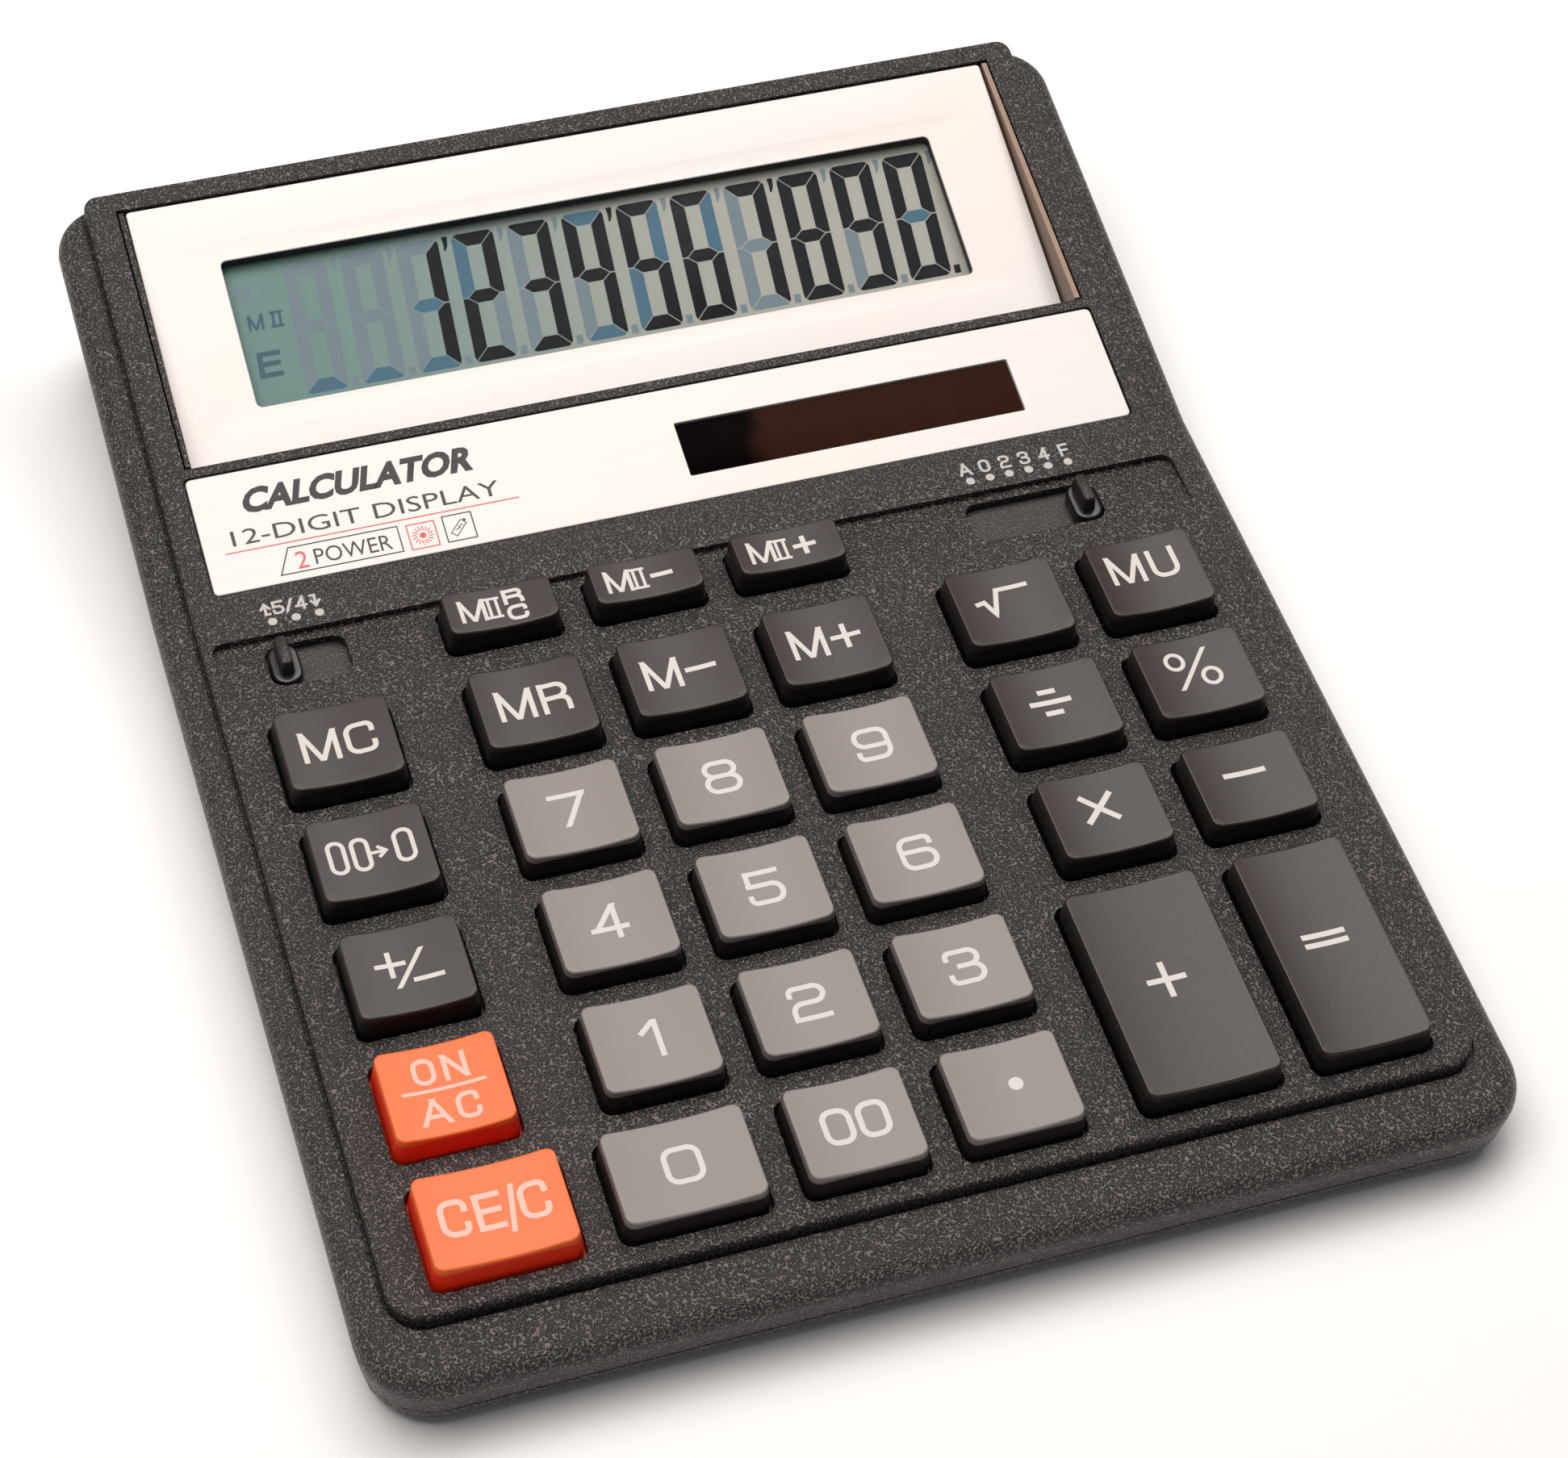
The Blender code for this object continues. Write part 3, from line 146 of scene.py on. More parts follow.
class Field:
    """A number that varies over a surface; arithmetic on it adds Math nodes."""

    def __init__(self, graph: Graph, socket: bpy.types.NodeSocket) -> None:
        """Wrap a socket of a graph."""
        self.graph = graph
        self.socket = socket

    def _math(self, operation: str, first: object, second: object = 0.0) -> Field:
        """Add a Math node."""
        node = self.graph.node("ShaderNodeMath", {"operation": operation}, {0: first, 1: second})
        return Field(self.graph, node.outputs[0])

    def __add__(self, other: Field | float) -> Field:
        """Sum."""
        return self._math("ADD", self, other)

    __radd__ = __add__

    def __sub__(self, other: Field | float) -> Field:
        """Difference."""
        return self._math("SUBTRACT", self, other)

    def __rsub__(self, other: Field | float) -> Field:
        """Difference the other way round."""
        return self._math("SUBTRACT", other, self)

    def __mul__(self, other: Field | float) -> Field:
        """Product."""
        return self._math("MULTIPLY", self, other)

    __rmul__ = __mul__

    def __truediv__(self, other: Field | float) -> Field:
        """Quotient."""
        return self._math("DIVIDE", self, other)

    def ramp(self, low: float, high: float) -> Field:
        """Rise smoothly from 0 at one value to 1 at another.

        Args:
            low: The value that gives 0.
            high: The value that gives 1.

        Returns:
            The eased step.
        """
        settings = {"interpolation_type": "SMOOTHSTEP"}
        node = self.graph.node("ShaderNodeMapRange", settings, {"Value": self, "From Min": low, "From Max": high})
        return Field(self.graph, node.outputs[0])


# Finishes


@dataclass(frozen=True)
class Finish:
    """A surface finish. A plain one has a faint cloudy change of tone and gloss.

    Attributes:
        name: The material's name.
        color: Base colour.
        roughness: Mean roughness.
        metallic: 0 for plastic, 1 for metal.
        grain_size: Size of the surface grain in metres.
        grain_depth: Depth of the grain in metres.
        mottle: How far tone changes from place to place, as a share.
        coat: Clear coat weight.
        gloss: Strength of the mirror part of the surface.
    """

    name: str
    color: Color
    roughness: float = 0.5
    metallic: float = 0.0
    grain_size: float = 0.3 * MM
    grain_depth: float = 0.004 * MM
    mottle: float = 0.08
    coat: float = 0.0
    gloss: float = 0.5

    def material(self) -> bpy.types.Material:
        """The material, built on first use.

        Returns:
            The Blender material.
        """
        name = f"{self.name}_finish"
        found = bpy.data.materials.get(name)
        if found:
            return found
        material = bpy.data.materials.new(name)
        material.use_nodes = True
        material.diffuse_color = (*self.color, 1.0)
        skin = Skin(self, Graph(material.node_tree))
        self.dress(skin)
        skin.graph.node("ShaderNodeOutputMaterial", inputs={"Surface": skin.shader.outputs[0]})
        return material

    def dress(self, skin: Skin) -> None:
        """Drive the skin's sockets: here a broad cloudiness and a fine grain."""
        cloud = skin.noise(14 * MM, detail=3.0)
        grain = skin.noise(self.grain_size)
        skin.cover(skin.toned(cloud * 0.6 + grain * 0.4), self.roughness + (cloud - 0.5) * 0.12, grain)


class Skin:
    """The shader of one finish, with what drives its sockets."""

    def __init__(self, finish: Finish, graph: Graph) -> None:
        """Add the coordinates and the shader with its constant values.

        Args:
            finish: The finish.
            graph: The material's graph.
        """
        self.finish = finish
        self.graph = graph
        self.place = graph.node("ShaderNodeTexCoord").outputs["Object"]
        constants = {
            "Metallic": finish.metallic,
            "Coat Weight": finish.coat,
            "Coat Roughness": 0.12,
            "Specular IOR Level": finish.gloss,
        }
        self.shader = graph.node("ShaderNodeBsdfPrincipled", inputs=constants)

    def noise(self, size: float, detail: float = 2.0, stretch: Color = (1.0, 1.0, 1.0)) -> Field:
        """A noise field between 0 and 1.

        Args:
            size: Size of one blob in metres.
            detail: Octaves.
            stretch: Blob size factors along x, y and z.

        Returns:
            The field.
        """
        scale = tuple(1.0 / (size * factor) for factor in stretch)
        return self.texture("ShaderNodeTexNoise", scale, {}, {"Detail": detail})

    def texture(self, kind: str, scale: Color, settings: dict[str, object], inputs: dict[str, object]) -> Field:
        """Any texture on scaled object coordinates.

        Args:
            kind: The texture node's type name.
            scale: Scale along x, y and z.
            settings: The node's own settings.
            inputs: Values of its other sockets.

        Returns:
            Its first output.
        """
        mapped = self.graph.node("ShaderNodeMapping", inputs={"Vector": self.place, "Scale": scale})
        sockets = {"Vector": mapped.outputs[0], "Scale": 1.0, **inputs}
        return self.graph.value(self.graph.node(kind, settings, sockets))

    def across(self) -> Field:
        """The x coordinate."""
        return self.graph.value(self.graph.node("ShaderNodeSeparateXYZ", inputs={0: self.place}))

    def mix(self, factor: Field, first: Color | bpy.types.NodeSocket, second: Color) -> bpy.types.NodeSocket:
        """Mix two colours, either of which may be a plain one."""
        ends = [tone if isinstance(tone, bpy.types.NodeSocket) else (*tone, 1.0) for tone in (first, second)]
        return self.graph.blend(factor, *ends)

    def toned(self, amount: Field) -> bpy.types.NodeSocket:
        """The finish's colour, darker where the amount is low and lighter where it is high."""
        spread = 2 * self.finish.mottle
        dark = tuple(channel * (1 - spread) for channel in self.finish.color)
        return self.mix(amount, dark, tuple(min(1.0, channel * (1 + spread)) for channel in self.finish.color))

    def cover(self, color: bpy.types.NodeSocket, roughness: Field, height: Field) -> None:
        """Drive the shader.

        Args:
            color: Its base colour.
            roughness: Its roughness.
            height: The relief of its grain, between 0 and 1.
        """
        sockets = self.shader.inputs
        self.graph.feed(sockets["Base Color"], color)
        self.graph.feed(sockets["Roughness"], roughness)
        relief = {"Height": height, "Distance": self.finish.grain_depth, "Strength": 1.0}
        self.graph.feed(sockets["Normal"], self.graph.node("ShaderNodeBump", inputs=relief).outputs[0])


@dataclass(frozen=True)
class GrainedPlastic(Finish):
    """Spark-eroded plastic: fine leathery pits, with painted highlights in a paler colour on their tips."""

    # Colour of the painted highlights on the grain's tips.
    tip_highlight: Color = (0.12, 0.11, 0.105)

    def dress(self, skin: Skin) -> None:
        """Drive the skin's sockets with pits, painted highlights on the tips and a broad cloudiness."""
        cells = skin.texture("ShaderNodeTexVoronoi", (1 / self.grain_size,) * 3, {"feature": "SMOOTH_F1"}, {})
        fine = skin.noise(self.grain_size * 0.7, detail=3.0)
        cloud = skin.noise(22 * MM)
        relief = cells.ramp(0.1, 0.9) * 0.55 + fine * 0.45
        tips = relief.ramp(0.44, 0.66)
        roughness = self.roughness - tips * 0.14 + (cloud - 0.5) * 0.08
        # Painted highlight: the tips take the paler tip colour; the pits and relief themselves are real grain.
        skin.cover(skin.mix(tips * 0.55, skin.toned(cloud), self.tip_highlight), roughness, relief)


@dataclass(frozen=True)
class KeyPlastic(Finish):
    """Moulded key: satin top with the finest grain, and painted shade on its sides: a far darker copy of the same
    plastic's colour.

    Attributes:
        side: Colour of the painted shade on the sides.
        crest: Height over the desk, measured along the keypad's normal, where the top's tone begins.
        reach: How far below that the painted side shade is complete.
    """

    side: Color = (0.02, 0.018, 0.017)
    crest: float = 3.0 * MM
    reach: float = 0.5 * MM

    def dress(self, skin: Skin) -> None:
        """Drive the skin's sockets, with painted shade on the sides below the top edge."""
        upward = KEYPAD.matrix.to_3x3() @ Vector((0, 0, 1))
        ends = {0: skin.place, 1: tuple(upward)}
        normal = skin.graph.node("ShaderNodeVectorMath", {"operation": "DOT_PRODUCT"}, ends)
        level = skin.graph.value(normal, "Value") - KEYPAD.origin.dot(upward)
        top = level.ramp(self.crest - self.reach, self.crest)
        fine = skin.noise(self.grain_size)
        cloud = skin.noise(9 * MM, detail=3.0)
        tone = skin.toned(cloud * 0.5 + fine * 0.5)
        # Painted shade: below the crest the sides take the dark side colour in place of the key's own tone.
        color = skin.graph.blend(top, (*self.side, 1.0), tone)
        skin.cover(color, self.roughness + (fine - 0.5) * 0.15, fine)


@dataclass(frozen=True)
class BrushedSilver(Finish):
    """Bright film brushed in one direction: long hair lines along x."""

    blush: Color = (0.76, 0.66, 0.6)

    def dress(self, skin: Skin) -> None:
        """Drive the skin's sockets with hair lines and a faint warm blush."""
        lines = skin.noise(0.16 * MM, detail=3.0, stretch=(90.0, 1.0, 1.0))
        cloud = skin.noise(45 * MM, detail=1.0, stretch=(1.0, 0.6, 1.0))
        tone = skin.mix(cloud.ramp(0.35, 0.8) * 0.5, self.color, self.blush)
        skin.cover(skin.mix(lines * 0.12, tone, (0.6, 0.56, 0.54)), self.roughness + (lines - 0.5) * 0.16, lines)


@dataclass(frozen=True)
class LiquidCrystal(Finish):
    """The screen's backing: green-grey at its left, paler and warmer towards its right."""

    right: Color = (0.42, 0.42, 0.375)
    half_width: float = 58 * MM

    def dress(self, skin: Skin) -> None:
        """Drive the skin's sockets with the side-to-side change of tone."""
        across = skin.across().ramp(-self.half_width, self.half_width * 0.6)
        fine = skin.noise(0.25 * MM, detail=3.0)
        tone = skin.mix(across, self.color, self.right)
        skin.cover(skin.mix(fine * 0.15, tone, (0.3, 0.34, 0.3)), self.roughness + (fine - 0.5) * 0.1, fine)


@dataclass(frozen=True)
class SolarGlass(Finish):
    """Dark glass over thin-film cells: black at its left end, brown beyond it, with a faint haze."""

    film: Color = (0.034, 0.013, 0.008)
    split_x: float = 13 * MM

    def dress(self, skin: Skin) -> None:
        """Drive the skin's sockets with the film's tone and its haze."""
        cloud = skin.noise(7 * MM)
        across = skin.across() + (cloud - 0.5) * (6 * MM)
        film = across.ramp(self.split_x - 1.5 * MM, self.split_x + 2.5 * MM)
        haze = skin.noise(3 * MM, detail=4.0)
        tone = skin.mix(film, self.color, self.film)
        skin.cover(skin.mix(haze * 0.25, tone, (0.01, 0.005, 0.0035)), self.roughness + haze * 0.08, cloud)


@dataclass(frozen=True)
class ClearSheet(Finish):
    """Clear acrylic that only tints what is behind it."""

    opacity: float = 0.06

    def dress(self, skin: Skin) -> None:
        """Drive the skin's sockets; the sheet has a trace of haze."""
        haze = skin.noise(6 * MM)
        sockets = skin.shader.inputs
        skin.graph.feed(sockets["Base Color"], (*self.color, 1.0))
        skin.graph.feed(sockets["Roughness"], self.roughness + haze * 0.03)
        skin.graph.feed(sockets["Alpha"], self.opacity + haze * 0.02)


# The tip colours here and in FIN_BLACK are painted highlights on the grain's tips.
CASE_BLACK = GrainedPlastic(
    "case_black", (0.005, 0.0038, 0.0033), 0.4, grain_size=0.27 * MM, grain_depth=0.28 * MM, mottle=0.15,
    tip_highlight=(0.27, 0.222, 0.203), gloss=0.58,
)
# The side colours are painted shade on the key sides: near-black on the black and grey keys, a darker red on the
# orange keys.
KEY_BLACK = KeyPlastic("key_black", (0.026, 0.0175, 0.015), 0.34, side=(0.004, 0.003, 0.0027), gloss=0.42)
KEY_GREY = KeyPlastic("key_grey", (0.245, 0.217, 0.208), 0.38, mottle=0.03, side=(0.01, 0.007, 0.006), gloss=0.42)
KEY_ORANGE = KeyPlastic("key_orange", (0.97, 0.16, 0.03), 0.4, mottle=0.03, side=(1.0, 0.03, 0.002), gloss=0.42)
LEGEND_WHITE = Finish("legend_white", (0.66, 0.635, 0.61), 0.55, mottle=0.03)
LEGEND_PALE = Finish("legend_pale", (0.8, 0.52, 0.43), 0.55, mottle=0.03)
SCALE_GREY = Finish("scale_grey", (0.5, 0.48, 0.46), 0.55, mottle=0.05)
KNOB_BLACK = Finish("knob_black", (0.006, 0.005, 0.005), 0.3, grain_depth=0.002 * MM, coat=0.3)
FIN_BLACK = GrainedPlastic(
    "fin_black", (0.015, 0.013, 0.012), 0.5, grain_size=0.35 * MM, grain_depth=0.08 * MM, tip_highlight=(0.06, 0.05, 0.045)
)
PLATE_SILVER = BrushedSilver("plate_silver", (0.69, 0.672, 0.655), 0.36, 0.1, grain_depth=0.0012 * MM)
STRIP_SILVER = BrushedSilver("strip_silver", (0.655, 0.64, 0.625), 0.36, 0.1, grain_depth=0.0012 * MM)
CHEEK_BRONZE = Finish("cheek_bronze", (0.22, 0.15, 0.11), 0.45, 0.5, 0.5 * MM, 0.03 * MM, 0.25)
PRINT_BLACK = Finish("print_black", (0.008, 0.007, 0.007), 0.5)
PRINT_GREY = Finish("print_grey", (0.035, 0.028, 0.025), 0.5)
PRINT_RED = Finish("print_red", (0.72, 0.1, 0.08), 0.5)
CRYSTAL = LiquidCrystal("liquid_crystal", (0.14, 0.265, 0.25), 0.5, gloss=0.15)
SEGMENT_DARK = Finish("segment_dark", (0.002, 0.004, 0.007), 0.5, gloss=0.1)
SEGMENT_BLUE = Finish("segment_blue", (0.06, 0.15, 0.22), 0.5, gloss=0.15)
SEGMENT_FAINT = Finish("segment_faint", (0.17, 0.235, 0.27), 0.5, gloss=0.15)
SEGMENT_MARK = Finish("segment_mark", (0.055, 0.12, 0.16), 0.5, gloss=0.15)
LENS_CLEAR = ClearSheet("lens_clear", (0.01, 0.015, 0.015), 0.05, opacity=0.02)
SOLAR = SolarGlass("solar_glass", (0.0012, 0.0008, 0.0008), 0.3, gloss=0.01)
FOOT_RUBBER = Finish("foot_rubber", (0.02, 0.02, 0.02), 0.85, grain_depth=0.01 * MM)
MAT_RUBBER = Finish("mat_rubber", (0.2, 0.2, 0.195), 0.8)
SCREW_STEEL = Finish("screw_steel", (0.55, 0.55, 0.56), 0.3, 1.0, 0.2 * MM, 0.006 * MM)
CONTACT_BRASS = Finish("contact_brass", (0.75, 0.55, 0.25), 0.3, 1.0)
BOARD_GREEN = Finish("board_green", (0.03, 0.16, 0.07), 0.4)
HOLDER_WHITE = Finish("holder_white", (0.6, 0.6, 0.58), 0.6)
RIBBON_BROWN = Finish("ribbon_brown", (0.25, 0.12, 0.05), 0.4)
LEAD_RED = Finish("lead_red", (0.5, 0.03, 0.02), 0.5)
FLOOR_PALE = Finish("floor_pale", (0.94, 0.94, 0.94), 0.9, gloss=0.0, mottle=0.004)


# Shared places


@dataclass(frozen=True)
class Plane:
    """A sloping surface: x to the right, y up the slope, z out of it."""

    origin: Vector
    slope: float

    @property
    def matrix(self) -> Matrix:
        """The plane's place in the world."""
        return Matrix.Translation(self.origin) @ Matrix.Rotation(self.slope, 4, "X")

    def local(self, point: Vector) -> Vector:
        """A world point in the plane's own x, y and z."""
        return self.matrix.inverted() @ point


@dataclass(frozen=True)
class CaseSizes:
    """Sizes that the shells, the trims and the planes share."""

    half_width: float = 79.5 * MM
    front_y: float = Vector(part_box("top_case")[0]).y
    back_y: float = Vector(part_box("top_case")[1]).y
    fold_from_front: float = 130.4 * MM
    front_rim: float = 11.0 * MM
    panel_step: float = 2.0 * MM
    keypad_slope: float = math.radians(1.0)
    display_slope: float = math.radians(11.1)
    screen_lean: float = math.radians(6.0)
    screen_start: float = 22.1 * MM
    screen_length: float = 47.5 * MM
    screen_sink: float = 0.4 * MM
    rim_round: float = 2.8 * MM
    draft: float = math.tan(math.radians(8.5))
    parting: float = 4.6 * MM
    gap: float = 0.3 * MM
    wall: float = 2.0 * MM
    front_corner: float = 10.0 * MM
    back_corner: float = 7.5 * MM

    @property
    def fold_y(self) -> float:
        """Where the keypad meets the display frame."""
        return self.front_y + self.fold_from_front

    @property
    def fold_z(self) -> float:
        """Height of the raised panel at the fold."""
        return self.front_rim + self.fold_from_front * math.tan(self.keypad_slope) + self.panel_step

    def panel_height(self, y: float) -> float:
        """Height of the raised panel over the desk."""
        slope = self.keypad_slope if y < self.fold_y else self.display_slope
        return self.fold_z + (y - self.fold_y) * math.tan(slope)

    def rim_height(self, y: float) -> float:
        """Height of the rim that runs round the raised panel."""
        return self.panel_height(y) - self.panel_step

    def wall_inset(self, y: float, z: float) -> float:
        """How far the drafted outer wall has come in at a height."""
        return self.draft * max(0.0, self.rim_height(y) - self.rim_round - z)


CASE = CaseSizes()
DESK = Plane(Vector((0, 0, 0)), 0.0)
KEYPAD = Plane(Vector((0, CASE.fold_y, CASE.fold_z)), CASE.keypad_slope)
DISPLAY = Plane(Vector((0, CASE.fold_y, CASE.fold_z)), CASE.display_slope)
SCREEN_TOP_Y = CASE.screen_start + CASE.screen_length * math.cos(CASE.screen_lean)
SCREEN = Plane(
    DISPLAY.matrix @ Vector((0, SCREEN_TOP_Y, -CASE.screen_sink)), CASE.display_slope + CASE.screen_lean
)


# Mesh making


def rounded_rect(
    half_x: float, half_y: float, radius: float, steps: int = 4, along_x: int = 1, along_y: int = 1
) -> list[Point2]:
    """A rounded rectangle, counter-clockwise.

    Args:
        half_x: Half its width.
        half_y: Half its depth.
        radius: Corner radius.
        steps: Segments in each corner.
        along_x: Segments of each straight front and back edge.
        along_y: Segments of each straight side edge.

    Returns:
        Its points, centred on the origin.
    """
    points: list[Point2] = []
    corners = ((1, -1, -90, along_y), (1, 1, 0, along_x), (-1, 1, 90, along_y), (-1, -1, 180, along_x))
    for side_x, side_y, start, straight in corners:
        middle_x = side_x * (half_x - radius)
        middle_y = side_y * (half_y - radius)
        for step in range(steps + 1):
            angle = math.radians(start + 90 * step / steps)
            points.append((middle_x + radius * math.cos(angle), middle_y + radius * math.sin(angle)))
        last = Vector(points[-1])
        turned = math.radians(start + 90)
        edge = Vector((-math.sin(turned), math.cos(turned)))
        length = 2 * ((half_y if side_x * side_y < 0 else half_x) - radius)
        for step in range(1, straight):
            points.append(tuple(last + edge * (length * step / straight)))
    return points


def circle(radius: float, sides: int) -> list[Point2]:
    """A circle round the origin, as points."""
    return [(radius * math.cos(turn), radius * math.sin(turn))
            for turn in (2 * math.pi * step / sides for step in range(sides))]


def shifted(points: Iterable[Point2], x: float, y: float) -> list[Point2]:
    """Points moved by x and y."""
    return [(point[0] + x, point[1] + y) for point in points]


class Shape:
    """A mesh that is being built from closed solids on one plane."""

    def __init__(self, plane: Plane = DESK) -> None:
        """Start an empty mesh.

        Args:
            plane: The plane whose x, y and z its points use.
        """
        self.plane = plane
        self.mesh = bmesh.new()

    def loft(self, rings: Sequence[Sequence[Sequence[float]]], ring_shut: bool = False, slot: int = 0) -> None:
        """Add a solid through rings of equal length.

        Args:
            rings: The rings, in order; each point has x, y and z.
            ring_shut: Join the last ring to the first instead of capping both.
            slot: Material slot number.
        """
        verts = [[self.mesh.verts.new(point) for point in ring] for ring in rings]
        pairs = list(zip(verts, verts[1:]))
        if ring_shut:
            pairs.append((verts[-1], verts[0]))
        faces = []
        count = len(rings[0])
        for lower, upper in pairs:
            for here in range(count):
                after = (here + 1) % count
                faces.append(self.mesh.faces.new((lower[here], lower[after], upper[after], upper[here])))
        if not ring_shut:
            faces.append(self.mesh.faces.new(list(reversed(verts[0]))))
            faces.append(self.mesh.faces.new(verts[-1]))
        for face in faces:
            face.material_index = slot

    def stack(self, sections: Sequence[tuple[Sequence[Point2], float | Surface]], slot: int = 0) -> None:
        """Add a solid through plan outlines, each at a height or on a height function."""
        rings = []
        for outline, height in sections:
            lift = height if callable(height) else (lambda x, y, level=height: level)
            rings.append([(x, y, lift(x, y)) for x, y in outline])
        self.loft(rings, slot=slot)

    def prism(self, outline: Sequence[Point2], low: float | Surface, high: float | Surface, slot: int = 0) -> None:
        """Add an outline drawn up from a low to a high surface."""
        self.stack([(outline, low), (outline, high)], slot)

    def side_prism(self, profile: Sequence[Point2], low_x: float, high_x: float, slot: int = 0) -> None:
        """Add a side view in y and z, drawn out along x."""
        self.loft([[(x, y, z) for y, z in profile] for x in (low_x, high_x)], slot=slot)

    def settle(self, name: str, *finishes: Finish, smooth: float = 35.0) -> bpy.types.Object:
        """Turn the shape into an object with its place in its mesh.

        Args:
            name: The object's name.
            finishes: Its finishes in slot order; none makes a cutter.
            smooth: Edges that turn less than this many degrees are shaded smooth.

        Returns:
            The object, at the origin.
        """
        self.mesh.transform(self.plane.matrix)
        bmesh.ops.recalc_face_normals(self.mesh, faces=self.mesh.faces)
        data = bpy.data.meshes.new(name)
        self.mesh.to_mesh(data)
        self.mesh.free()
        obj = bpy.data.objects.new(name, data)
        bpy.context.scene.collection.objects.link(obj)
        for finish in finishes:
            data.materials.append(finish.material())
        if finishes:
            soften(obj, smooth)
        return obj


def soften(obj: bpy.types.Object, degrees: float = 35.0) -> None:
    """Shade an object smooth except at its sharper edges."""
    obj.data.shade_smooth()
    obj.data.set_sharp_from_angle(angle=math.radians(degrees))


class Cut(Enum):
    """What a Boolean does with the other shape."""

    TAKE = "DIFFERENCE"
    ADD = "UNION"


def carve(obj: bpy.types.Object, *steps: tuple[Cut, bpy.types.Object]) -> None:
    """Queue Booleans on an object.

    Args:
        obj: The object.
        steps: What to do, and the shape to do it with.
    """
    for kind, other in steps:
        modifier = obj.modifiers.new(kind.name.lower(), "BOOLEAN")
        modifier.operation = kind.value
        modifier.object = other
        modifier.solver = "EXACT"
        other.hide_render = True


def bake_modifiers(obj: bpy.types.Object, *helpers: bpy.types.Object, smooth: float = 35.0) -> None:
    """Turn an object's modifiers into plain mesh and remove the helpers they used.

    Args:
        obj: The object.
        helpers: Cutters to delete afterwards.
        smooth: Smooth-shading limit in degrees.
    """
    depsgraph = bpy.context.evaluated_depsgraph_get()
    depsgraph.update()
    data = bpy.data.meshes.new_from_object(obj.evaluated_get(depsgraph))
    obj.modifiers.clear()
    old = obj.data
    obj.data = data
    data.name = obj.name
    bpy.data.meshes.remove(old)
    for helper in helpers:
        bpy.data.objects.remove(helper)
    soften(obj, smooth)


def keep_flats(obj: bpy.types.Object) -> None:
    """Weigh normals by face area, so that flat faces beside a rounding stay flat."""
    modifier = obj.modifiers.new("flats", "WEIGHTED_NORMAL")
    modifier.mode = "FACE_AREA"
    modifier.weight = 100
    modifier.keep_sharp = True


# Repeats, by Geometry Nodes


class Repeater:
    """A Geometry Nodes tree that sets copies of a small solid on points."""

    def __init__(self, name: str) -> None:
        """Build the tree.

        Args:
            name: The tree's name.
        """
        self.tree = bpy.data.node_groups.new(name, "GeometryNodeTree")
        face = self.tree.interface
        face.new_socket("Points", in_out="INPUT", socket_type="NodeSocketGeometry")
        self.piece = face.new_socket("Piece", in_out="INPUT", socket_type="NodeSocketObject").identifier
        self.size = face.new_socket("Size", in_out="INPUT", socket_type="NodeSocketFloat").identifier
        self.finish = face.new_socket("Finish", in_out="INPUT", socket_type="NodeSocketMaterial").identifier
        face.new_socket("Copies", in_out="OUTPUT", socket_type="NodeSocketGeometry")
        graph = Graph(self.tree)
        start = graph.node("NodeGroupInput")
        piece = graph.node("GeometryNodeObjectInfo", inputs={"Object": start.outputs["Piece"]})
        spread = graph.node(
            "GeometryNodeInstanceOnPoints",
            inputs={
                "Points": start.outputs["Points"],
                "Instance": piece.outputs["Geometry"],
                "Scale": start.outputs["Size"],
            },
        )
        solid = graph.node("GeometryNodeRealizeInstances", inputs={"Geometry": spread.outputs[0]})
        coat = graph.node(
            "GeometryNodeSetMaterial",
            inputs={"Geometry": solid.outputs[0], "Material": start.outputs["Finish"]},
        )
        graph.node("NodeGroupOutput", inputs={0: coat.outputs[0]})

    def spread(
        self, name: str, piece: bpy.types.Object, places: Iterable[Vector], finish: Finish, size: float = 1.0
    ) -> bpy.types.Object:
        """Set copies of a piece on places and make them one plain mesh.

        Args:
            name: The result's name.
            piece: The solid to copy, centred on the origin; it is removed afterwards.
            places: World points.
            finish: The copies' finish.
            size: Size factor of every copy.

        Returns:
            The finished object.
        """
        data = bpy.data.meshes.new(name)
        data.from_pydata([tuple(place) for place in places], [], [])
        obj = bpy.data.objects.new(name, data)
        bpy.context.scene.collection.objects.link(obj)
        modifier = obj.modifiers.new("copies", "NODES")
        modifier.node_group = self.tree
        modifier[self.piece] = piece
        modifier[self.size] = size
        modifier[self.finish] = finish.material()
        bake_modifiers(obj, piece)
        if not obj.data.materials:
            obj.data.materials.append(finish.material())
        return obj


REPEATER = Repeater("copies_on_points")


# Lettering from strokes


class Ends(Enum):
    """How a stroke's ends and corners are cut."""

    ROUND = "rounded corners, square ends"
    SHARP = "mitred corners, square ends"
    LEVEL = "straight pieces cut off level"


@dataclass(frozen=True)
class Stroke:
    """One stroke of a symbol in a unit box.

    Attributes:
        points: Corner points.
        ends: How corners and ends are cut.
        shut: Whether the last point joins the first.
    """

    points: tuple[Point2, ...]
    ends: Ends = Ends.SHARP
    shut: bool = False


def bent(*points: Point2) -> Stroke:
    """A stroke with rounded corners."""
    return Stroke(points, Ends.ROUND)


def straight(*points: Point2) -> Stroke:
    """A stroke with mitred corners."""
    return Stroke(points, Ends.SHARP)


def leaning(*points: Point2) -> Stroke:
    """A slanting stroke, cut off level."""
    return Stroke(points, Ends.LEVEL)


def loop(left: float, low: float, right: float, high: float) -> Stroke:
    """A closed rounded box."""
    return Stroke(((left, low), (right, low), (right, high), (left, high)), Ends.ROUND, True)


